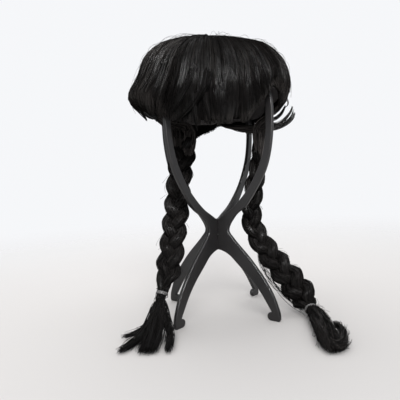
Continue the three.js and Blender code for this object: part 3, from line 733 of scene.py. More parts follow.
def stand_material():
    """Satin moulded plastic with a fine grain and faint cloudy wear."""
    colour = bpy.context.scene.wig_stand.colour
    material, nodes, links, shader = node_material("satin_black_plastic")
    place = nodes.new("ShaderNodeTexCoord")
    cloud = add_node(nodes, "ShaderNodeTexNoise", {"Scale": 38.0, "Detail": 4.0})
    grain = add_node(nodes, "ShaderNodeTexNoise", {"Scale": 1500.0, "Detail": 2.0})
    colours = two_tones(nodes, toned(colour, 0.85), toned(colour, 1.3), (0.3, 0.75))
    gloss = add_node(nodes, "ShaderNodeMapRange", {"To Min": 0.32, "To Max": 0.46})
    bump = add_node(nodes, "ShaderNodeBump", {"Strength": 0.12, "Distance": 0.0002})
    for noise in (cloud, grain):
        links.new(place.outputs["Object"], noise.inputs["Vector"])
    links.new(cloud.outputs["Fac"], colours.inputs["Fac"])
    links.new(cloud.outputs["Fac"], gloss.inputs["Value"])
    links.new(colours.outputs["Color"], shader.inputs["Base Color"])
    links.new(gloss.outputs["Result"], shader.inputs["Roughness"])
    links.new(grain.outputs["Fac"], bump.inputs["Height"])
    links.new(bump.outputs["Normal"], shader.inputs["Normal"])
    shader.inputs["Specular IOR Level"].default_value = 0.44
    return material


def cap_material():
    """Dark stretch net: small square openings between its threads."""
    material, nodes, links, shader = node_material("dark_stretch_net")
    place = nodes.new("ShaderNodeUVMap")
    place.uv_map = "net"
    scale = add_node(nodes, "ShaderNodeMapping", {"Scale": (330, 110, 1)})
    threads = add_node(nodes, "ShaderNodeTexBrick", {"Scale": 1.0, "Mortar Size": 0.16})
    threads.offset = 0.5
    threads.inputs["Color1"].default_value = (0.024, 0.0225, 0.0225, 1)
    threads.inputs["Color2"].default_value = (0.03, 0.028, 0.028, 1)
    threads.inputs["Mortar"].default_value = (0.07, 0.065, 0.065, 1)
    bump = add_node(nodes, "ShaderNodeBump", {"Strength": 0.5, "Distance": 0.0005})
    links.new(place.outputs["UV"], scale.inputs["Vector"])
    links.new(scale.outputs["Vector"], threads.inputs["Vector"])
    links.new(threads.outputs["Color"], shader.inputs["Base Color"])
    links.new(threads.outputs["Fac"], bump.inputs["Height"])
    links.new(bump.outputs["Normal"], shader.inputs["Normal"])
    shader.inputs["Roughness"].default_value = 0.85
    return material


def tie_material():
    """Dull grey elastic with a fine grain."""
    colour = bpy.context.scene.wig_plait.tie_colour
    material, nodes, links, shader = node_material("grey_elastic")
    place = nodes.new("ShaderNodeTexCoord")
    grain = add_node(nodes, "ShaderNodeTexNoise", {"Scale": 900.0})
    colours = two_tones(nodes, toned(colour, 0.7), toned(colour, 1.25))
    links.new(place.outputs["Object"], grain.inputs["Vector"])
    links.new(grain.outputs["Fac"], colours.inputs["Fac"])
    links.new(colours.outputs["Color"], shader.inputs["Base Color"])
    shader.inputs["Roughness"].default_value = 0.45
    return material


def fibre_tree():
    """Geometry nodes that sweep a small round section along every line of a mesh of edges."""
    known = bpy.data.node_groups.get("fibre_sweep")
    if known:
        return known
    tree = bpy.data.node_groups.new("fibre_sweep", "GeometryNodeTree")
    face = tree.interface
    face.new_socket("Geometry", in_out="INPUT", socket_type="NodeSocketGeometry")
    thickness = face.new_socket("Thickness", in_out="INPUT", socket_type="NodeSocketFloat")
    thickness.default_value = 1.0
    sides = face.new_socket("Sides", in_out="INPUT", socket_type="NodeSocketInt")
    sides.default_value = 3
    face.new_socket("Material", in_out="INPUT", socket_type="NodeSocketMaterial")
    face.new_socket("Geometry", in_out="OUTPUT", socket_type="NodeSocketGeometry")
    start = tree.nodes.new("NodeGroupInput")
    end = tree.nodes.new("NodeGroupOutput")
    lines = tree.nodes.new("GeometryNodeMeshToCurve")
    section = tree.nodes.new("GeometryNodeCurvePrimitiveCircle")
    section.inputs["Radius"].default_value = 1.0
    own = tree.nodes.new("GeometryNodeInputNamedAttribute")
    own.inputs["Name"].default_value = "thickness"
    scale = tree.nodes.new("ShaderNodeMath")
    scale.operation = "MULTIPLY"
    sweep = tree.nodes.new("GeometryNodeCurveToMesh")
    sweep.inputs["Fill Caps"].default_value = True
    smooth = tree.nodes.new("GeometryNodeSetShadeSmooth")
    whole = tree.nodes.new("GeometryNodeRealizeInstances")
    paint = tree.nodes.new("GeometryNodeSetMaterial")
    link = tree.links.new
    link(start.outputs["Geometry"], lines.inputs["Mesh"])
    link(start.outputs["Sides"], section.inputs["Resolution"])
    link(own.outputs["Attribute"], scale.inputs[0])
    link(start.outputs["Thickness"], scale.inputs[1])
    link(lines.outputs["Curve"], sweep.inputs["Curve"])
    link(section.outputs["Curve"], sweep.inputs["Profile Curve"])
    link(scale.outputs["Value"], sweep.inputs["Scale"])
    link(sweep.outputs["Mesh"], smooth.inputs["Geometry"])
    link(smooth.outputs["Geometry"], whole.inputs["Geometry"])
    link(whole.outputs["Geometry"], paint.inputs["Geometry"])
    link(start.outputs["Material"], paint.inputs["Material"])
    link(paint.outputs["Geometry"], end.inputs["Geometry"])
    return tree


def set_input(modifier, name, value):
    for item in modifier.node_group.interface.items_tree:
        if item.item_type == "SOCKET" and item.in_out == "INPUT" and item.name == name:
            modifier[item.identifier] = value
            return
    raise RuntimeError(f"no input named {name}")


def fibres_mesh(name, groups, material, sides=3):
    """Closed fibres along lines. A group is lines in millimetres with thickness, shade and gloss."""
    points, edges, thickness, shade, gloss = [], [], [], [], []
    first = 0
    for lines, radii, shades, glosses in groups:
        count, steps = lines.shape[:2]
        ids = first + np.arange(count * steps).reshape(count, steps)
        points.append(to_row(lines.reshape(-1, 3)))
        edges.append(np.stack([ids[:, :-1].ravel(), ids[:, 1:].ravel()], axis=1))
        thickness.append((radii * MM).ravel())
        shades = shades if shades.ndim == 2 else shades[:, None]
        shade.append(np.broadcast_to(shades, (count, steps)).ravel())
        gloss.append(np.broadcast_to(glosses, (count, steps)).ravel())
        first += count * steps
    points = np.concatenate(points)
    edges = np.concatenate(edges)
    guide = bpy.data.meshes.new(f"{name}_lines")
    guide.vertices.add(len(points))
    guide.vertices.foreach_set("co", points.astype(np.float32).ravel())
    guide.edges.add(len(edges))
    guide.edges.foreach_set("vertices", edges.astype(np.int32).ravel())
    for key, values in (("thickness", thickness), ("shade", shade), ("gloss", gloss)):
        attribute = guide.attributes.new(key, "FLOAT", "POINT")
        attribute.data.foreach_set("value", np.concatenate(values).astype(np.float32))
    guide.update()
    holder = new_object(f"{name}_lines", guide)
    modifier = holder.modifiers.new("fibres", "NODES")
    modifier.node_group = fibre_tree()
    set_input(modifier, "Thickness", 1.0)
    set_input(modifier, "Sides", sides)
    set_input(modifier, "Material", material)
    graph = bpy.context.evaluated_depsgraph_get()
    mesh = bpy.data.meshes.new_from_object(holder.evaluated_get(graph))
    mesh.name = name
    holder.modifiers.remove(modifier)
    bpy.data.objects.remove(holder)
    bpy.data.meshes.remove(guide)
    return mesh


def hair_table():
    """Reach and height of the hair's outer line on a fine grid of angles and steps."""
    weights = spline_weights(len(HAIR_LINES[0][1]), LINE_STEPS)
    angles = np.array([line[0] for line in HAIR_LINES], float)
    reach = np.array([weights @ np.array(line[1], float) for line in HAIR_LINES])
    height = np.array([weights @ np.array(line[2], float) for line in HAIR_LINES])
    fine = np.arange(-180, 181, 1.0)
    i = np.clip(np.searchsorted(angles, fine, side="right") - 1, 0, len(angles) - 2)
    part = ((fine - angles[i]) / (angles[i + 1] - angles[i]))[:, None]
    return reach[i] + (reach[i + 1] - reach[i]) * part, height[i] + (height[i + 1] - height[i]) * part


HAIR_REACH, HAIR_HEIGHT = hair_table()


def grid_value(grid, angle, along):
    """Value of the fine grid at angles and at parts of the way from crown to hem."""
    a = np.minimum((angle + 180) % 360, 359.999)
    s = np.clip(along, 0, 0.99999) * (LINE_STEPS - 1)
    i, j = a.astype(int), s.astype(int)
    u, v = a - i, s - j
    top = grid[i, j] * (1 - v) + grid[i, j + 1] * v
    low = grid[i + 1, j] * (1 - v) + grid[i + 1, j + 1] * v
    return top * (1 - u) + low * u


def hair_point(angle, along, depth):
    """Point on the hair's outer surface, moved outwards by a depth in millimetres."""
    step = 0.01
    reach = grid_value(HAIR_REACH, angle, along)
    height = grid_value(HAIR_HEIGHT, angle, along)
    run = grid_value(HAIR_REACH, angle, along + step) - grid_value(HAIR_REACH, angle, along - step)
    fall = grid_value(HAIR_HEIGHT, angle, along + step) - grid_value(HAIR_HEIGHT, angle, along - step)
    size = np.maximum(np.hypot(run, fall), 1e-6)
    reach = reach - depth * fall / size
    height = height + depth * run / size
    turn = np.radians(angle)
    return np.stack([reach * np.sin(turn), -reach * np.cos(turn), height], axis=-1)


def comb(angle, along):
    """Sideways drift of the hair, in degrees, on its way from the crown to the hem."""
    (rise_start, rise_blend), (fall_start, fall_blend) = DRIFT_SPANS
    rise = ease((rise_start - angle) / rise_blend)
    fall = 1 - ease((fall_start - angle) / fall_blend)
    front = -FRONT_DRIFT * rise * fall * along**1.4
    back = np.clip((np.abs(angle) - BACK_SPAN[1]) / (180 - BACK_SPAN[1]), 0, 1)
    return front - np.sign(angle) * BACK_DRIFT * back * along**2


def ease(value):
    value = np.clip(value, 0, 1)
    return value * value * (3 - 2 * value)


def grown(along, start, end):
    """Rises softly from 0 to 1 between two parts of the way."""
    return ease((along - start) / (end - start))


def away(angle, middle, start, blend):
    """0 near a middle angle, rising to 1 over a blend that starts some degrees from it."""
    return ease((np.abs(angle - middle) - start) / blend)


def swell(value, middle, width):
    """1 at the middle, falling softly to both sides."""
    return np.exp(-(((value - middle) / width) ** 2))


def hair_locks(rng, span, angle):
    """Locks of one hair piece: the lock and sheaf of each fibre, and how the locks differ."""
    number = span["locks"]
    sheaves = number // SHEAF_LOCKS
    width = (span["high"] - span["low"]) / number
    sheaf_of_lock = np.arange(number) * sheaves // number
    own = np.clip(((angle - span["low"]) / width).astype(int), 0, number - 1)
    centre = span["low"] + (np.arange(number) + rng.uniform(0.2, 0.8, number)) * width
    depth = rng.uniform(-LOCK_DEPTH, LOCK_DEPTH, number)
    depth = depth + rng.uniform(-SHEAF_DEPTH, SHEAF_DEPTH, sheaves)[sheaf_of_lock]
    return SimpleNamespace(
        number=number,
        sheaves=sheaves,
        width=width,
        sheaf_of_lock=sheaf_of_lock,
        own=own,
        centre=centre,
        depth=depth,
        short=rng.uniform(0, LOCK_SHORT, number),
        shade=rng.uniform(0, LOCK_SHADE, number),
    )


def fibre_ways(rng, locks, angle):
    """Lines of the fibres from root to end, and how far along the hair their points are."""
    count, own = len(angle), locks.own
    start = FIRST_ROOT + ROOT_SPREAD * rng.uniform(0, 1, count) ** 1.2
    ragged = 1 - BACK_EVEN * away(angle, *BACK_SPAN)
    end = 1 - (locks.short[own] + rng.uniform(0, 1, count) ** 3 * RAGGED_ENDS) * ragged
    part = np.linspace(0, 1, FIBRE_STEPS)[None, :]
    along = start[:, None] + (end - start)[:, None] * part
    to_centre = (locks.centre[own] - angle)[:, None]
    path = angle[:, None] + to_centre * (LOCK_DRAW * along**2.2 * ragged[:, None])
    path = path + comb(angle[:, None], along)
    loose = 1 + LOOSE_SWING * (rng.uniform(0, 1, (count, 1)) > 1 - LOOSE_SHARE)
    path = path + loose * waves(rng, count, along, 1.0) * (0.25 + 0.9 * along)
    grid = np.linspace(0, 1, LINE_STEPS)[None, :]
    at = np.clip((along * (LINE_STEPS - 1)).astype(int), 0, LINE_STEPS - 1)
    lock_wave = waves(rng, locks.number, grid.repeat(locks.number, 0), 0.7)
    sheaf_wave = waves(rng, locks.sheaves, grid.repeat(locks.sheaves, 0), 0.5)
    path = path + LOCK_SWING * along * lock_wave[own[:, None], at]
    path = path + SHEAF_SWING * along * sheaf_wave[locks.sheaf_of_lock[own][:, None], at]
    depth = rng.uniform(*FIBRE_LAYER, count)[:, None] + locks.depth[own][:, None] * along
    depth = depth - LOCK_ROUND * (to_centre / locks.width) ** 2 * along * ragged[:, None]
    thin = CROWN_THIN + (1 - CROWN_THIN) * grown(along, 0, THIN_END)
    depth = depth * thin + CROWN_LIFT * (1 - grown(along, 0.3, 0.6))
    depth = depth - ROOT_SINK * np.exp(-part * 7) * grown(along, 0, 0.12)
    depth = depth + LOOSE_DEPTH * loose * waves(rng, count, along, 1.6)
    return hair_point(path, along, depth), along


def fibre_shades(rng, locks, angle, along):
    """Shades along the fibres: even at the crown, darker in the fringe below its sheen as painted shade, and
    lighter at the ends as painted light.
    """
    count = len(angle)
    shades = np.clip(locks.shade[locks.own] + rng.uniform(0, FIBRE_SHADE, count), 0, 1)
    bright = rng.uniform(0, 1, count) > 1 - BRIGHT_SHARE
    shades[bright] = rng.uniform(*BRIGHT_SHADE, bright.sum())
    contrast = CROWN_CONTRAST + (1 - CROWN_CONTRAST) * grown(along, 0.2, 0.6)
    shades = CROWN_SHADE + (shades[:, None] - CROWN_SHADE) * contrast
    front = (1 - away(angle, *FRONT_SPAN))[:, None]
    shades = shades * (1 + 0.5 * contrast * waves(rng, count, along, 2.5))
    # Painted shade: the fringe is made darker below its sheen by its table
    shades = shades * (1 + front * (table(FRINGE_PAINTED_SHADE, along) - 1)) + SIDE_SHADE * (1 - front)
    # Painted light: the ends of the fibres are made lighter
    pale = (PAINTED_LIGHT_ENDS["front"] - PAINTED_LIGHT_ENDS["sooner"] * away(angle, *PAINTED_LIGHT_ENDS["span"]))[:, None]
    painted_end_light = rng.uniform(*PAINTED_LIGHT_ENDS["shade"], (count, 1)) * ease((along - pale) / PAINTED_LIGHT_ENDS["blend"])
    return np.clip(shades + painted_end_light, 0, 1)


def fibre_gloss(rng, span, locks, angle, along):
    """Gloss along the fibres, and how far they lie in the gleam beside the crown."""
    count = len(angle)
    lock_gloss = rng.uniform(*LOCK_GLOSS, locks.number)
    lock_gloss = lock_gloss * rng.uniform(*SHEAF_GLOSS, locks.sheaves)[locks.sheaf_of_lock]
    strip = ((angle - span["low"]) / STREAK_WIDTH).astype(int)
    strips = strip.max() + 1
    dull = rng.uniform(0, 1, strips) < DULL_STRIPS
    strip_gloss = np.where(dull, rng.uniform(*DULL_GLOSS, strips), rng.uniform(*BRIGHT_GLOSS, strips))
    slip = rng.uniform(-LOCK_SLIP, LOCK_SLIP, locks.number)[locks.own]
    slip = slip + rng.uniform(-STRIP_SLIP, STRIP_SLIP, strips)[strip]
    place = along + slip[:, None]
    own = lock_gloss[locks.own] * strip_gloss[strip] * rng.uniform(*FIBRE_GLOSS, count)
    own = own * (1 + sum(more * swell(angle, middle, width) for middle, width, more in SHEEN_PLACES))
    own = own * (1 - SIDE_DULLING * away(angle, *SIDE_SPAN))
    gloss = table(HAIR_GLOSS, place) * np.minimum(own, MOST_GLOSS)[:, None]
    gleam = swell(angle, *GLEAM_ANGLE)[:, None] * swell(place, *GLEAM_PLACE)
    return gloss + GLEAM_GLOSS * gleam * rng.uniform(0, 1, (count, 1)) ** 1.5, gleam


def head_fibres(key, count, radius):
    """Fibres of one hair piece: roots all over the cap, gathered in locks towards the hem."""
    span = HAIR_SPANS[key]
    rng = np.random.default_rng(span["seed"])
    angle = rng.uniform(span["low"], span["high"], count)
    locks = hair_locks(rng, span, angle)
    lines, along = fibre_ways(rng, locks, angle)
    part = np.linspace(0, 1, FIBRE_STEPS)[None, :]
    taper = np.clip(np.minimum(0.5 + part * 6, (1 - part) * 6 + 0.3), 0.3, 1)
    radii = radius * rng.uniform(0.7, 1.2, (count, 1)) * taper
    shades = fibre_shades(rng, locks, angle, along)
    gloss, gleam = fibre_gloss(rng, span, locks, angle, along)
    # Painted highlight: fibres in the gleam are made lighter
    shades = np.clip(shades + gleam * rng.uniform(0.1, 1.0, (count, 1)), 0, 1)
    return lines, radii, shades, gloss


def lock_fibres(rng, controls, count, spread, radius, shade=(0.1, 0.6), gloss=(0.2, 0.9)):
    """A lock: fibres round one curve, close at its root and drawn together at its tip."""
    controls = np.asarray(controls, float)
    steps = LOCK_STEPS
    part = np.linspace(0, 1, steps)
    narrowing = (1 - (1 - LOCK_TIP) * part**1.3)[None, :, None]
    shifts = rng.normal(0, 1, (count, 1, 3)) * spread * narrowing
    lines = (spline_weights(len(controls), steps) @ controls)[None] + shifts
    lines = lines + 0.25 * spread * rng.normal(0, 1, (count, 1, 3)) * (part**2)[None, :, None]
    ends = rng.uniform(0.86, 1.0, count)
    places = part[None, :] * ends[:, None] * (steps - 1)
    i = np.clip(places.astype(int), 0, steps - 2)
    u = (places - i)[..., None]
    rows = np.arange(count)[:, None]
    lines = lines[rows, i] * (1 - u) + lines[rows, i + 1] * u
    radii = radius * rng.uniform(0.8, 1.2, (count, 1)) * np.clip((1 - part) * 3 + 0.25, 0.25, 1)[None, :]
    return lines, radii, rng.uniform(*shade, count), rng.uniform(*gloss, (count, 1))


def placed_locks(rows, seed, radius, **finish):
    """Locks laid along tables of points."""
    rng = np.random.default_rng(seed)
    return [
        lock_fibres(rng, points, count, spread, radius * LOCK_FINENESS, **finish)
        for points, count, spread in rows
    ]


def gather_fibres(side, count, radius):
    """Hair drawn in under the hem and down into the head of a plait."""
    plan = GATHER_SPANS[side]
    rng = np.random.default_rng(plan["seed"])
    head = np.array(plan["head"], float)
    curve, _ = even_curve(PLAIT_LINES[side], GATHER_PLAIT_STEPS)
    groups = []
    for low, high, share in plan["spans"]:
        number = int(count * share)
        angle = rng.uniform(low, high, number)
        along = rng.uniform(*GATHER_START, number)
        start = hair_point(angle, along, rng.uniform(-3.5, -1.0, number))
        hem = hair_point(angle, np.full(number, 0.999), rng.uniform(-2.5, -0.5, number))
        ring = np.clip(rng.normal(0, 1, (number, 3)), -1.9, 1.9) * plan["neck"]
        neck = head + ring + (0, 0, NECK_RISE)
        middle = hem * 0.5 + neck * 0.5 + rng.normal(0, 1, (number, 3)) * 1.2 - (0, 0, GATHER_SAG)
        high_point = curve[plan["reach"] // 2] + ring * 1.1
        low_point = curve[plan["reach"] + 2] + ring * 0.7
        controls = np.stack([start, hem, middle, neck, high_point, low_point], axis=1)
        lines = curves_through(controls, GATHER_STEPS)
        radii = radius * rng.uniform(0.8, 1.3, (number, 1)) * np.ones((1, GATHER_STEPS))
        # Painted light: the gathered fibres take light shades for the shade under the hem
        groups.append((lines, radii, rng.uniform(*GATHER_SHADE, number), GATHER_GLOSS))
    return groups


def hair_shell(key):
    """Deep layer of a hair piece: a thin closed shell just under its fibres."""
    span = HAIR_SPANS[key]
    columns, rows = SHELL_GRID
    angles = np.linspace(span["low"] + 0.6, span["high"] - 0.6, columns)
    along = np.linspace(*SHELL_REACH, rows)
    angle_grid, along_grid = np.meshgrid(angles, along, indexing="ij")
    along_grid = along_grid * (1 + SHELL_BACK_DROP * away(angle_grid, *BACK_SPAN))
    swept = angle_grid + comb(angle_grid, along_grid)
    thin = SHELL_THIN + (1 - SHELL_THIN) * grown(along_grid, 0, THIN_END)
    outer = hair_point(swept, along_grid, -span["deep"] * thin)
    inner = hair_point(swept, along_grid, -(span["deep"] + SHELL_WALL) * thin)
    points = to_row(np.concatenate([outer.reshape(-1, 3), inner.reshape(-1, 3)]))
    faces = []
    shift = columns * rows
    for i in range(columns):
        for j in range(rows):
            a = i * rows + j
            if i + 1 < columns and j + 1 < rows:
                faces.append((a, a + 1, a + rows + 1, a + rows))
                faces.append((a + shift, a + rows + shift, a + rows + 1 + shift, a + 1 + shift))
            if i + 1 < columns and j in (0, rows - 1):
                quad = (a, a + rows, a + rows + shift, a + shift)
                faces.append(quad if j == 0 else quad[::-1])
            if j + 1 < rows and i in (0, columns - 1):
                quad = (a, a + shift, a + 1 + shift, a + 1)
                faces.append(quad if i == 0 else quad[::-1])
    mesh = mesh_from(f"{key}_deep_layer", points, faces)
    flow = np.stack([((angle_grid + 180) / 360).ravel(), along_grid.ravel()], axis=1)
    add_map(mesh, "flow", np.tile(flow, (2, 1)))
    outward(mesh)
    mesh.shade_smooth()
    mesh.materials.append(streak_material(f"{key}_deep_hair", tones=span["tones"], **DEEP_HAIR))
    return new_object(f"{key}_deep_layer", mesh)


def add_map(mesh, name, places):
    """Stores a flat map of a mesh, from the place of each of its points."""
    layer = mesh.uv_layers.new(name=name)
    loops = np.zeros(len(mesh.loops), np.int32)
    mesh.loops.foreach_get("vertex_index", loops)
    layer.data.foreach_set("uv", places[loops].astype(np.float32).ravel())


def outward(mesh):
    """Turns the faces of a closed mesh to point outwards."""
    work = bmesh.new()
    work.from_mesh(mesh)
    bmesh.ops.recalc_face_normals(work, faces=work.faces)
    work.to_mesh(mesh)
    work.free()


def plait_frames(side, samples):
    """Centre line of a plait with its width and lift directions, and its length."""
    curve, length = even_curve(PLAIT_LINES[side], samples)
    along = np.gradient(curve, axis=0)
    along /= np.linalg.norm(along, axis=1, keepdims=True)
    width = np.cross(along, (0, -1, 0))
    width /= np.linalg.norm(width, axis=1, keepdims=True)
    lift = np.cross(along, width)
    return curve, width, lift, length


def strand_centres(side, index, samples, length):
    looks = bpy.context.scene.wig_plait
    travelled = np.linspace(0, length, samples)
    size = table(PLAIT_SIZE[side], travelled / length)
    turn = (travelled / STRAND_CYCLE + index / 3) * 2 * math.pi
    across = looks.sway / MM * np.sin(turn) * size
    through = looks.lift / MM * np.sin(2 * turn) * size
    return np.stack([across, through], axis=1), size


def strand_reach(side, index, samples, length, aims):
    """How far a strand's section goes in given directions before it meets the other strands."""
    looks = bpy.context.scene.wig_plait
    own, size = strand_centres(side, index, samples, length)
    half = (looks.half_width / MM, looks.half_thickness / MM)
    reach = size[:, None] / np.hypot(np.cos(aims) / half[0], np.sin(aims) / half[1])
    for k in (1, 2):
        other, _ = strand_centres(side, (index + k) % 3, samples, length)
        gap = other - own
        distance = np.maximum(np.linalg.norm(gap, axis=1), 1e-6)[:, None]
        facing = (np.cos(aims) * gap[:, :1] + np.sin(aims) * gap[:, 1:]) / distance
        meeting = (distance - STRAND_GAP) / 2 / np.maximum(facing, 0.05)
        reach = np.minimum(reach, np.maximum(np.where(facing > 0.05, meeting, np.inf), STRAND_LEAST))
    return own, reach, size


def strand_body(side, index, samples=170, sides=24):
    """Closed core of a plait's strand, with the way round and along it for each point."""
    curve, width, lift, length = plait_frames(side, samples)
    aims = np.tile(np.linspace(0, 2 * math.pi, sides, endpoint=False), (samples, 1))
    own, reach, _ = strand_reach(side, index, samples, length, aims)
    reach = reach * CORE_SHARE
    across = own[:, :1] + reach * np.cos(aims)
    through = own[:, 1:] + reach * np.sin(aims)
    points = curve[:, None] + across[..., None] * width[:, None] + through[..., None] * lift[:, None]
    faces = []
    for i in range(samples - 1):
        for j in range(sides):
            a, b = i * sides + j, i * sides + (j + 1) % sides
            faces.append((a, b, b + sides, a + sides))
    faces.append(tuple(range(sides))[::-1])
    faces.append(tuple(range((samples - 1) * sides, samples * sides)))
    along = np.repeat(np.linspace(0, length, samples), sides) / FLOW_LENGTH
    flow = np.stack([np.tile(np.arange(sides) / sides, samples), along], axis=1)
    return to_row(points.reshape(-1, 3)), faces, flow


def strand_fibres(side, index, count, radius, samples=66):
    """Fibres laid along the outside of a plait's strand, with a slow twist."""
    rng = np.random.default_rng(PLAIT_SEEDS[side] + index)
    curve, width, lift, length = plait_frames(side, samples)
    part = np.linspace(0, 1, samples)
    lines = np.zeros((count, samples, 3))
    for k in range(count):
        turn = 2 * math.pi * (k + rng.uniform(-0.3, 0.3)) / count
        wander = waves(rng, 1, part[None, :], 5.0)[0]
        aims = turn + 0.09 * math.sin(turn * 3) + 0.22 * wander + STRAND_TWIST * part
        own, reach, size = strand_reach(side, index, samples, length, aims[:, None])
        lift_off = 0.05 + 0.4 * waves(rng, 1, part[None, :], 7.0)[0] + rng.uniform(-0.3, 0.3)
        out = reach[:, 0] + lift_off * np.minimum(size, 1)
        across = own[:, 0] + out * np.cos(aims)
        through = own[:, 1] + out * np.sin(aims)
        lines[k] = curve + across[:, None] * width + through[:, None] * lift
    radii = radius * rng.uniform(0.8, 1.2, (count, 1)) * np.ones((1, samples))
    shades = rng.uniform(*STRAND_SHADE, count)
    bright = rng.uniform(0, 1, count) > 1 - STRAND_BRIGHT_SHARE
    shades[bright] = rng.uniform(*BRIGHT_SHADE, bright.sum())
    gloss = rng.uniform(*STRAND_GLOSS, (count, 1)) * grown(part, 0, 0.2)[None, :]
    gloss = gloss * (0.6 + 0.7 * waves(rng, 1, part[None, :], 5.0))
    return lines, radii, shades, np.clip(gloss, 0, 1)


def plait_end(side):
    curve, _, _, _ = plait_frames(side, 120)
    along = curve[-1] - curve[-4]
    return curve[-1], along / np.linalg.norm(along)


def left_tail_fibres(count, radius):
    """Broom of loose ends that leaves the tie as one bundle and parts into blunt locks on the floor."""
    rng = np.random.default_rng(TAIL_SEEDS["left"])
    place, along = plait_end("left")
    total = sum(share for _, share, _ in TAIL_LOCKS_LEFT)
    groups = []
    for points, share, tip in TAIL_LOCKS_LEFT:
        number = int(round(count * share / total))
        spreads = np.linspace(3.0, 1.25 * tip, len(points))
        spreads[0] = 2.6
        controls = [
            place + rng.normal(0, 1, (number, 3)) * (2.4, 2.0, 1.2) - along * 5,
            place + rng.normal(0, 1, (number, 3)) * (2.2, 1.9, 1.0) + along * 4,
        ]
        drift = rng.normal(0, 1, (number, 3))
        for point, spread in zip(points, spreads):
            mixed = 0.75 * drift + 0.5 * rng.normal(0, 1, (number, 3))
            controls.append(np.array(point) + mixed * spread * (1, 1, 0.8))
        controls[-1] += (controls[-1] - controls[-2]) * rng.uniform(-0.12, 0.05, (number, 1))
        lines = curves_through(np.stack(controls, axis=1), TAIL_STEPS["left"])
        groups.append(floor_lines(rng, lines, radius, TAIL_SHADE["left"]))
    return groups


def floor_lines(rng, lines, radius, shade):
    """Thickness, shade and gloss for loose ends, kept above the floor."""
    count, steps = lines.shape[:2]
    part = np.linspace(0, 1, steps)[None, :]
    radii = radius * rng.uniform(0.75, 1.15, (count, 1)) * np.clip((1 - part) * 5 + 0.3, 0.3, 1)
    lines[..., 2] = np.maximum(lines[..., 2], 0.5 + rng.uniform(0, 2.5, (count, 1)))
    return lines, radii, rng.uniform(*shade, count), rng.uniform(*TAIL_GLOSS, (count, 1))


def right_tail_fibres(count, radius, core=0.05):
    """Loose ends that run forward along the floor, with a lock that hooks back."""
    rng = np.random.default_rng(TAIL_SEEDS["right"])
    groups = []
    for run in TAIL_RUNS_RIGHT:
        number = int(count * run["share"])
        spine = np.array(run["spine"], float)
        weights = spline_weights(len(spine), 60)
        curve = weights @ spine
        half_width = weights @ np.array(run["half_width"])
        half_height = weights @ np.array(run["half_height"])
        along = np.gradient(curve, axis=0)
        along /= np.linalg.norm(along, axis=1, keepdims=True)
        side = np.cross(along, (0, 0, 1))
        side /= np.linalg.norm(side, axis=1, keepdims=True)
        turn = rng.uniform(0, 2 * math.pi, number)
        out = np.sqrt(rng.uniform(core, 1, number))
        ends = 1 - 0.35 * rng.uniform(0, 1, number) ** 2
        places = np.linspace(0, 1, TAIL_STEPS["right"])[None, :] * ends[:, None]
        across = (np.cos(turn) * out)[:, None] * along_value(half_width, places)
        across = across + waves(rng, number, places, 1.4) * (0.5 + run["sway"] * places)
        across = across + 0.55 * waves(rng, number, places, 5.0)
        up = (np.sin(turn) * out)[:, None] * along_value(half_height, places)
        up = up + waves(rng, number, places, 1.2) * 1.4 + 0.8 * waves(rng, number, places, 4.0)
        lines = along_value(curve, places) + across[..., None] * along_value(side, places)
        lines[..., 2] += up
        groups.append(floor_lines(rng, lines, radius, TAIL_SHADE["right"]))
    return groups


def along_value(values, places):
    """Values of an evenly sampled row at parts of its length."""
    at = np.clip(places, 0, 1) * (len(values) - 1)
    i = np.clip(at.astype(int), 0, len(values) - 2)
    u = at - i
    if values.ndim == 2:
        u = u[..., None]
    return values[i] * (1 - u) + values[i + 1] * u


def frizz(rng, lines, number, reach, floor=None, thick=0.17, longest=7, gloss=0.0):
    """Stray hairs that leave a bundle of lines and bow away from it."""
    count, steps = lines.shape[:2]
    length = min(longest, steps - 1)
    row = rng.integers(0, count, number)
    first = rng.integers(0, steps - length, number)
    at = first[:, None] + np.arange(length)[None, :]
    part = np.linspace(0, 1, length)[None, :, None]
    aim = rng.normal(0, 1, (number, 1, 3))
    aim /= np.linalg.norm(aim, axis=2, keepdims=True)
    bow = aim * reach * rng.uniform(0.3, 1.0, (number, 1, 1)) * part**1.5
    strays = lines[row[:, None], at] + bow
    if floor is not None:
        strays[..., 2] = np.maximum(strays[..., 2], floor)
    return strays, np.full((number, length), thick), rng.uniform(0.1, 0.9, number), gloss


def crown_strays(rng):
    """Single hairs that bow up from the crown."""
    number, steps, thick = CROWN_STRAYS.values()
    angle = rng.uniform(-180, 180, number)
    along = rng.uniform(0.03, 0.5, number)
    span = rng.uniform(0.06, 0.2, number)
    part = np.linspace(0, 1, steps)[None, :]
    path = angle[:, None] + rng.normal(0, 9, (number, 1)) * part
    depth = 1.0 + rng.uniform(0.8, 4.2, (number, 1)) * np.sin(part * math.pi) ** 1.2
    lines = hair_point(path, along[:, None] + span[:, None] * part, depth)
    return lines, np.full((number, steps), thick), rng.uniform(0.3, 1, number), 0


def hanging_strays(rng):
    """A thin bunch of hairs that hangs free beside the right plait."""
    lines = []
    for _ in range(STRAY_BUNCH):
        shift = rng.normal(0, 1, 3) * 2.4 + rng.normal(0, 1.2, (len(STRAY_LINE), 3))
        lines.append(np.array(STRAY_LINE) + shift)
    lines = curves_through(np.array(lines), STRAY_STEPS)
    lines[..., 2] = np.maximum(lines[..., 2], FUZZ_FLOOR)
    radii = np.full((STRAY_BUNCH, STRAY_STEPS), STRAY_THICK)
    return lines, radii, rng.uniform(0.0, 0.6, STRAY_BUNCH), STRAY_GLOSS


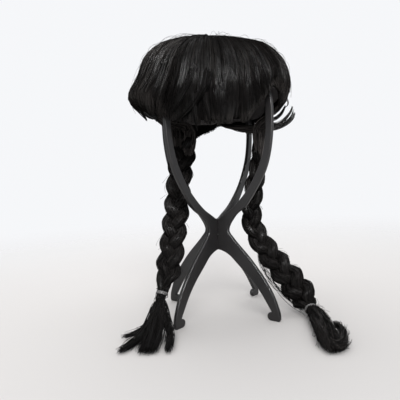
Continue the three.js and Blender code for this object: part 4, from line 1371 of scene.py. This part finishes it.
def loose_hairs():
    """Single stray hairs over the crown, along the plaits and round the loose ends."""
    rng = np.random.default_rng(STRAY_SEED)
    groups = [crown_strays(rng)]
    for key in HAIR_SPANS:
        lines = head_fibres(key, FUZZ_BUNDLE, FUZZ_RADIUS)[0]
        groups.append(frizz(rng, lines, **FUZZ["head"]))
    for side in ("left", "right"):
        for index in range(3):
            lines = strand_fibres(side, index, FUZZ_STRAND, FUZZ_RADIUS)[0]
            groups.append(frizz(rng, lines, **FUZZ["plait"]))
    for lines, *_ in left_tail_fibres(FUZZ_BUNDLE, FUZZ_RADIUS):
        groups.append(frizz(rng, lines, **FUZZ["left tail"]))
    for lines, *_ in right_tail_fibres(FUZZ_BUNDLE, FUZZ_RADIUS, FUZZ_TAIL_CORE):
        groups.append(frizz(rng, lines, **FUZZ["right tail"]))
    return groups + [hanging_strays(rng)]


def top_arch(shoulder, top):
    """Quarter of an oval from the middle of a panel's top down to its shoulder."""
    reach, height = shoulder
    arch = np.linspace(math.pi / 2, 0, 40)
    return np.stack([reach * np.cos(arch), height + (top - height) * np.sin(arch)], axis=1)


def crotch_curve(edge, crotch, samples):
    """Inner edge of a limb, rounded into the crotch in the middle."""
    x, z = edge[-1]
    curve, _ = even_curve(edge + [(0, crotch), (-x, z)], samples)
    return curve


def panel_halves(name):
    """Half outline and half loop of a panel in its own plane, with its slots."""
    loop_top = STAND_HEIGHT - ARM_WIDTH
    top_joint = STAND_HEIGHT - ARM_WIDTH / 2
    side, _ = even_curve(ARM_OUTER + LEG_OUTER, 120)
    turns = np.radians(np.linspace(270, 70, 14))
    toe = TOE_RADIUS * np.stack([np.cos(turns), 1 + np.sin(turns)], axis=1) + (TOE_MIDDLE, 0)
    inside = crotch_curve(LEG_INNER, LOWER_CROTCH_Z, 60)
    loop = crotch_curve(ARM_INNER, UPPER_CROTCH_Z, 80)
    outline = np.concatenate([top_arch(ARM_OUTER[0], STAND_HEIGHT), side[1:], toe, inside])
    hole = np.concatenate([top_arch(ARM_INNER[0], loop_top), loop[1:]])
    gap = SLOT_HALF
    outline = outline[outline[:, 0] > gap]
    hole = hole[hole[:, 0] > gap]
    if name == "stand_panel_a":
        slot = [(gap, LOWER_CROTCH_Z), (gap, WAIST_JOINT_Z + JOINT_GAP)]
        outline = np.concatenate([[(0, STAND_HEIGHT)], outline, slot])
        slot = [(gap, top_joint + JOINT_GAP), (gap, loop_top)]
        hole = np.concatenate([slot, hole, [(0, UPPER_CROTCH_Z)]])
    else:
        slot = [(gap, top_joint - JOINT_GAP), (gap, STAND_HEIGHT)]
        outline = np.concatenate([slot, outline, [(0, LOWER_CROTCH_Z)]])
        slot = [(gap, UPPER_CROTCH_Z), (gap, WAIST_JOINT_Z - JOINT_GAP)]
        hole = np.concatenate([[(0, loop_top)], hole, slot])
    return outline, hole


def closed_outline(half):
    other = half[::-1] * (-1, 1)
    return np.concatenate([half, other[np.abs(other[:, 0]) > 1e-6]])


def panel_mesh(name):
    """One panel: a flat outline with a loop, given thickness and rounded edges."""
    looks = bpy.context.scene.wig_stand
    outline, hole = panel_halves(name)
    flat = bpy.data.curves.new(f"{name}_outline", "CURVE")
    flat.dimensions = "2D"
    flat.fill_mode = "BOTH"
    flat.extrude = looks.thickness / 2 - looks.edge_radius
    flat.bevel_depth = looks.edge_radius
    flat.bevel_resolution = 2
    flat.offset = -looks.edge_radius
    for half in (outline, hole):
        points = closed_outline(half) * MM
        spline = flat.splines.new("POLY")
        spline.points.add(len(points) - 1)
        for point, (x, y) in zip(spline.points, points):
            point.co = (x, y, 0, 1)
        spline.use_cyclic_u = True
    holder = bpy.data.objects.new(f"{name}_outline", flat)
    bpy.context.scene.collection.objects.link(holder)
    graph = bpy.context.evaluated_depsgraph_get()
    mesh = bpy.data.meshes.new_from_object(holder.evaluated_get(graph))
    bpy.data.objects.remove(holder)
    bpy.data.curves.remove(flat)
    work = bmesh.new()
    work.from_mesh(mesh)
    bmesh.ops.remove_doubles(work, verts=work.verts, dist=1e-6)
    bmesh.ops.recalc_face_normals(work, faces=work.faces)
    for face in work.faces:
        face.smooth = abs(face.normal.z) < 0.999
    work.to_mesh(mesh)
    work.free()
    place = to_row([(0, 0, 0)])[0]
    upright = Matrix.Rotation(math.pi / 2, 4, "X")
    turn = Matrix.Rotation(math.radians(PANEL_TURNS[name]), 4, "Z")
    mesh.transform(Matrix.Translation(place) @ turn @ upright)
    mesh.name = name
    return mesh


def cap_mesh():
    """Thin domed cap with rows of sewn hair strips raised on its inner face."""
    columns, rows = CAP_GRID
    angles = np.linspace(0, 360, columns, endpoint=False)
    rim = table(CAP_RIM, np.where(angles > 180, 360 - angles, angles))
    part = np.linspace(0.0, 1.0, rows)[None, :]
    strips = STRIP_HEIGHT * np.maximum(0, np.sin(part * 2 * math.pi * STRIP_ROWS)) ** 4
    skins = []
    for offset, size in ((CAP_OUTER, CAP_OUTER), (CAP_INNER, CAP_INNER - strips)):
        end = np.arcsin((rim - CAP_BASE_Z) / (CAP_RISE + offset))
        slope = math.pi / 2 * (1 - part) + end[:, None] * part
        slope[:, 0] = math.pi / 2 - 0.004
        flat = np.cos(slope)
        turn = np.radians(angles)[:, None]
        x = (CAP_HALF_WIDTH + size) * flat * np.sin(turn)
        y = -(CAP_HALF_LENGTH + size) * flat * np.cos(turn)
        z = CAP_BASE_Z + (CAP_RISE + size) * np.sin(slope)
        skins.append(np.stack([x, y, z], axis=-1).reshape(-1, 3))
    points = to_row(np.concatenate(skins))
    shift = columns * rows
    faces = []
    for i in range(columns):
        n = (i + 1) % columns
        for j in range(rows - 1):
            a, b = i * rows + j, n * rows + j
            faces.append((a, a + 1, b + 1, b))
            faces.append((a + shift, b + shift, b + 1 + shift, a + 1 + shift))
        a, b = i * rows + rows - 1, n * rows + rows - 1
        faces.append((a, a + shift, b + shift, b))
    faces.append(tuple(i * rows for i in range(columns)))
    faces.append(tuple(i * rows + shift for i in range(columns))[::-1])
    mesh = mesh_from("cap", points, faces)
    net = np.stack([np.repeat(angles / 360, rows), np.tile(np.linspace(0, 1, rows), columns)], axis=1)
    add_map(mesh, "net", np.tile(net, (2, 1)))
    outward(mesh)
    mesh.shade_smooth()
    return mesh


class WIG_OT_stand(bpy.types.Operator):
    """Builds the two slotted panels of the stand"""

    bl_idname = "wig.stand"
    bl_label = "Stand panels"

    def execute(self, context):
        plastic = stand_material()
        for name in PANEL_TURNS:
            mesh = panel_mesh(name)
            mesh.materials.clear()
            mesh.materials.append(plastic)
            settle(new_object(f"{name}_moulded", mesh), "stand_plastic", name)
        return {"FINISHED"}


class WIG_OT_cap(bpy.types.Operator):
    """Builds the net cap inside the hair"""

    bl_idname = "wig.cap"
    bl_label = "Cap"

    def execute(self, context):
        mesh = cap_mesh()
        mesh.materials.append(cap_material())
        settle(new_object("cap_net", mesh), "cap_net", "cap")
        return {"FINISHED"}


class WIG_OT_sides(bpy.types.Operator):
    """Builds the hair on both sides of the head, with its ends drawn into the plaits"""

    bl_idname = "wig.sides"
    bl_label = "Side hair"

    def execute(self, context):
        looks = context.scene.wig_hair
        radius = looks.fibre_radius / MM
        for key, side in (("hair_left", "left"), ("hair_right", "right")):
            settle(hair_shell(key), "hair")
            groups = [head_fibres(key, looks.side_fibres, radius)]
            groups += placed_locks(FLIP_ENDS[key], HAIR_SPANS[key]["lock_seed"], radius)
            mesh = fibres_mesh(f"{key}_fibres", groups, hair_material())
            settle(new_object(f"{key}_fibres", mesh), "hair", key)
            gathered = gather_fibres(side, looks.gather_fibres, radius * GATHER_THICKNESS)
            # Painted light: the gathered hair's colour is lifted in the shade under the hem
            mesh = fibres_mesh(f"{key}_gathered", gathered, hair_material("gathered_fibre_painted_fill", GATHER_PAINTED_FILL))
            settle(new_object(f"{key}_gathered", mesh), "hair")
        return {"FINISHED"}


class WIG_OT_fringe(bpy.types.Operator):
    """Builds the fringe over the brow"""

    bl_idname = "wig.fringe"
    bl_label = "Fringe"

    def execute(self, context):
        looks = context.scene.wig_hair
        radius = looks.fibre_radius / MM
        settle(hair_shell("fringe"), "hair")
        groups = [head_fibres("fringe", looks.fringe_fibres, radius)]
        groups += placed_locks(FRINGE_LOCKS, HAIR_SPANS["fringe"]["lock_seed"], radius, **FRINGE_FINISH)
        mesh = fibres_mesh("fringe_fibres", groups, hair_material())
        settle(new_object("fringe_fibres", mesh), "hair", "fringe")
        return {"FINISHED"}


class WIG_OT_plaits(bpy.types.Operator):
    """Builds the three strands of each plait"""

    bl_idname = "wig.plaits"
    bl_label = "Plaits"

    def execute(self, context):
        looks = context.scene.wig_plait
        for side in ("left", "right"):
            for index in range(3):
                points, faces, flow = strand_body(side, index)
                body = mesh_from(f"plait_{side}_{index + 1}_core", points, faces)
                add_map(body, "flow", flow)
                outward(body)
                body.shade_smooth()
                body.materials.append(streak_material("plaited_hair", **PLAITED_HAIR))
                settle(new_object(body.name, body), "hair")
                lines = strand_fibres(side, index, looks.strand_fibres, looks.fibre_radius / MM)
                mesh = fibres_mesh(f"plait_{side}_{index + 1}", [lines], hair_material())
                settle(new_object(mesh.name, mesh), "hair", f"braid_{side}_{index + 1}")
        return {"FINISHED"}


class WIG_OT_ties(bpy.types.Operator):
    """Builds the elastic wound round the end of each plait"""

    bl_idname = "wig.ties"
    bl_label = "Ties"

    def execute(self, context):
        elastic = tie_material()
        wire = context.scene.wig_plait.tie_wire / MM
        for side, half in TIE_HALF.items():
            place, along = plait_end(side)
            across = np.cross(along, (0, -1, 0))
            across /= np.linalg.norm(across)
            up = np.cross(along, across)
            turn = np.linspace(0, 2 * math.pi * TIE_TURNS, TIE_STEPS)
            rise = np.linspace(-TIE_RISE, TIE_RISE, TIE_STEPS)
            size = half + TIE_SLACK * np.sin(turn * 0.7)
            line = place + size[:, None] * (np.cos(turn)[:, None] * across + np.sin(turn)[:, None] * up)
            line = line + rise[:, None] * along
            line[:, 2] = np.maximum(line[:, 2], wire + 0.1)
            group = (line[None], np.full((1, TIE_STEPS), wire), np.zeros(1), 0.0)
            mesh = fibres_mesh(f"tie_{side}_elastic", [group], elastic, sides=8)
            settle(new_object(mesh.name, mesh), "tie_elastic", f"tie_{side}")
        return {"FINISHED"}


class WIG_OT_tails(bpy.types.Operator):
    """Builds the loose ends below the ties"""

    bl_idname = "wig.tails"
    bl_label = "Loose ends"

    def execute(self, context):
        looks = context.scene.wig_plait
        radius = looks.fibre_radius / MM
        for side, maker in (("left", left_tail_fibres), ("right", right_tail_fibres)):
            fibre = hair_material(f"loose_fibre_{side}", TAIL_LIFT[side])
            mesh = fibres_mesh(f"tail_{side}_fibres", maker(looks.tail_fibres, radius), fibre)
            settle(new_object(mesh.name, mesh), "hair", f"tail_{side}")
        return {"FINISHED"}


class WIG_OT_strays(bpy.types.Operator):
    """Builds the single stray hairs"""

    bl_idname = "wig.strays"
    bl_label = "Stray hairs"

    def execute(self, context):
        mesh = fibres_mesh("stray_hairs", loose_hairs(), hair_material())
        settle(new_object("stray_hairs", mesh), "hair")
        return {"FINISHED"}


class WIG_OT_stage(bpy.types.Operator):
    """Builds the floor, the light and the camera"""

    bl_idname = "wig.stage"
    bl_label = "Stage"

    def execute(self, context):
        scene = context.scene
        looks = scene.wig_stage
        scene.view_settings.view_transform = "Standard"
        self.floor(looks)
        self.world(scene, looks)
        self.lights(scene, looks)
        self.camera(scene)
        return {"FINISHED"}

    def floor(self, looks):
        mesh = bpy.data.meshes.new("floor")
        work = bmesh.new()
        bmesh.ops.create_circle(work, cap_ends=True, segments=96, radius=FLOOR_RADIUS)
        work.to_mesh(mesh)
        work.free()
        material, nodes, links, shader = node_material("pale_floor")
        place = nodes.new("ShaderNodeTexCoord")
        cloud = add_node(nodes, "ShaderNodeTexNoise", {"Scale": 2.0})
        colours = two_tones(nodes, toned(looks.floor_colour, 0.98), toned(looks.floor_colour, 1.02))
        far = nodes.new("ShaderNodeVectorMath")
        far.operation = "LENGTH"
        fade = add_node(nodes, "ShaderNodeMapRange", {"To Min": 1.0, "To Max": 0.0})
        fade.interpolation_type = "SMOOTHSTEP"
        fade.inputs["From Min"].default_value, fade.inputs["From Max"].default_value = FLOOR_FADE
        links.new(place.outputs["Object"], cloud.inputs["Vector"])
        links.new(place.outputs["Object"], far.inputs[0])
        links.new(far.outputs["Value"], fade.inputs["Value"])
        links.new(cloud.outputs["Fac"], colours.inputs["Fac"])
        links.new(colours.outputs["Color"], shader.inputs["Base Color"])
        links.new(fade.outputs["Result"], shader.inputs["Alpha"])
        shader.inputs["Roughness"].default_value = 0.8
        shader.inputs["Specular IOR Level"].default_value = 0.2
        mesh.materials.append(material)
        new_object("floor", mesh)

    def world(self, scene, looks):
        """A pale backdrop for the camera, with a dimmer room for the light and for reflections."""
        world = bpy.data.worlds.new("soft_room")
        scene.world = world
        world.use_nodes = True
        nodes, links = world.node_tree.nodes, world.node_tree.links
        nodes.clear()
        out = nodes.new("ShaderNodeOutputWorld")
        path = nodes.new("ShaderNodeLightPath")
        below = None
        for ray, colour, strength in (
            (None, ROOM_COLOUR, looks.fill_strength),
            ("Is Glossy Ray", ROOM_COLOUR, looks.gloss_strength),
            ("Is Camera Ray", looks.back_colour, 1.0),
        ):
            room = add_node(nodes, "ShaderNodeBackground", {"Color": (*colour, 1), "Strength": strength})
            if below is None:
                below = room.outputs["Background"]
                continue
            mix = nodes.new("ShaderNodeMixShader")
            links.new(path.outputs[ray], mix.inputs["Fac"])
            links.new(below, mix.inputs[1])
            links.new(room.outputs["Background"], mix.inputs[2])
            below = mix.outputs["Shader"]
        links.new(below, out.inputs["Surface"])

    def lights(self, scene, looks):
        """Area lights from the table; the floor is kept out of some of them."""
        flagged = bpy.data.collections.new("flagged_floor")
        flagged.objects.link(bpy.data.objects["floor"])
        flagged.collection_objects[0].light_linking.link_state = "EXCLUDE"
        for name, place, power, share, size, aim_height, spread, reflected, spares_floor in LIGHTS:
            lamp = bpy.data.lights.new(name, "AREA")
            lamp.energy = getattr(looks, power) * share
            lamp.size = size
            lamp.spread = math.radians(spread)
            light = bpy.data.objects.new(name, lamp)
            scene.collection.objects.link(light)
            light.visible_glossy = reflected
            if spares_floor:
                light.light_linking.receiver_collection = flagged
            start, aim = to_row([place, (0, 0, aim_height)])
            back = (start - aim) / np.linalg.norm(start - aim)
            side = np.cross((0, 0, 1), back)
            side /= np.linalg.norm(side)
            light.matrix_world = columns_matrix(side, np.cross(back, side), back, start)

    def camera(self, scene):
        """The camera that took the photograph."""
        lens = bpy.data.cameras.new("photo_camera")
        lens.sensor_width = SENSOR_WIDTH
        lens.lens = FOCAL_PIXELS / IMAGE_SIDE * SENSOR_WIDTH
        lens.clip_start = 0.01
        camera = bpy.data.objects.new("photo_camera", lens)
        scene.collection.objects.link(camera)
        pitch, pan, roll = (math.radians(v) for v in (CAMERA_PITCH, CAMERA_PAN, CAMERA_ROLL))
        ahead = np.array([-math.sin(pan), math.cos(pan), 0])
        level = np.array([math.cos(pan), math.sin(pan), 0])
        high = np.array([0, 0, 1.0])
        forward = math.cos(pitch) * ahead - math.sin(pitch) * high
        upward = math.sin(pitch) * ahead + math.cos(pitch) * high
        right = math.cos(roll) * level - math.sin(roll) * upward
        up = math.sin(roll) * level + math.cos(roll) * upward
        camera.matrix_world = columns_matrix(right, up, -forward, to_row([CAMERA_PLACE])[0])
        scene.camera = camera


def columns_matrix(x, y, z, place):
    matrix = Matrix.Identity(4)
    for k, column in enumerate((x, y, z, place)):
        for row in range(3):
            matrix[row][k] = float(column[row])
    return matrix


class WIG_PT_panel(bpy.types.Panel):
    """Lists the pieces of the wig"""

    bl_idname = "WIG_PT_panel"
    bl_label = "Wig with plaits"
    bl_space_type = "VIEW_3D"
    bl_region_type = "UI"
    bl_category = "Wig"

    def draw(self, context):
        for name, kind in GROUPS.items():
            box = self.layout.box()
            for key in kind.__annotations__:
                box.prop(getattr(context.scene, name), key)
        for operator in OPERATORS:
            self.layout.operator(operator.bl_idname)


OPERATORS = (
    WIG_OT_stage,
    WIG_OT_stand,
    WIG_OT_cap,
    WIG_OT_sides,
    WIG_OT_fringe,
    WIG_OT_plaits,
    WIG_OT_ties,
    WIG_OT_tails,
    WIG_OT_strays,
)
GROUPS = {
    "wig_stand": StandSettings,
    "wig_hair": HairSettings,
    "wig_plait": PlaitSettings,
    "wig_stage": StageSettings,
}


def register():
    for key, group in GROUPS.items():
        bpy.utils.register_class(group)
        setattr(bpy.types.Scene, key, PointerProperty(type=group))
    for kind in (*OPERATORS, WIG_PT_panel):
        bpy.utils.register_class(kind)


def unregister():
    for kind in (WIG_PT_panel, *reversed(OPERATORS)):
        bpy.utils.unregister_class(kind)
    for key, group in reversed(GROUPS.items()):
        delattr(bpy.types.Scene, key)
        bpy.utils.unregister_class(group)


def main():
    register()
    bpy.ops.wig.stage()
    bpy.ops.wig.stand()
    bpy.ops.wig.cap()
    bpy.ops.wig.sides()
    bpy.ops.wig.fringe()
    bpy.ops.wig.plaits()
    bpy.ops.wig.ties()
    bpy.ops.wig.tails()
    bpy.ops.wig.strays()


if __name__ == "__main__":
    main()
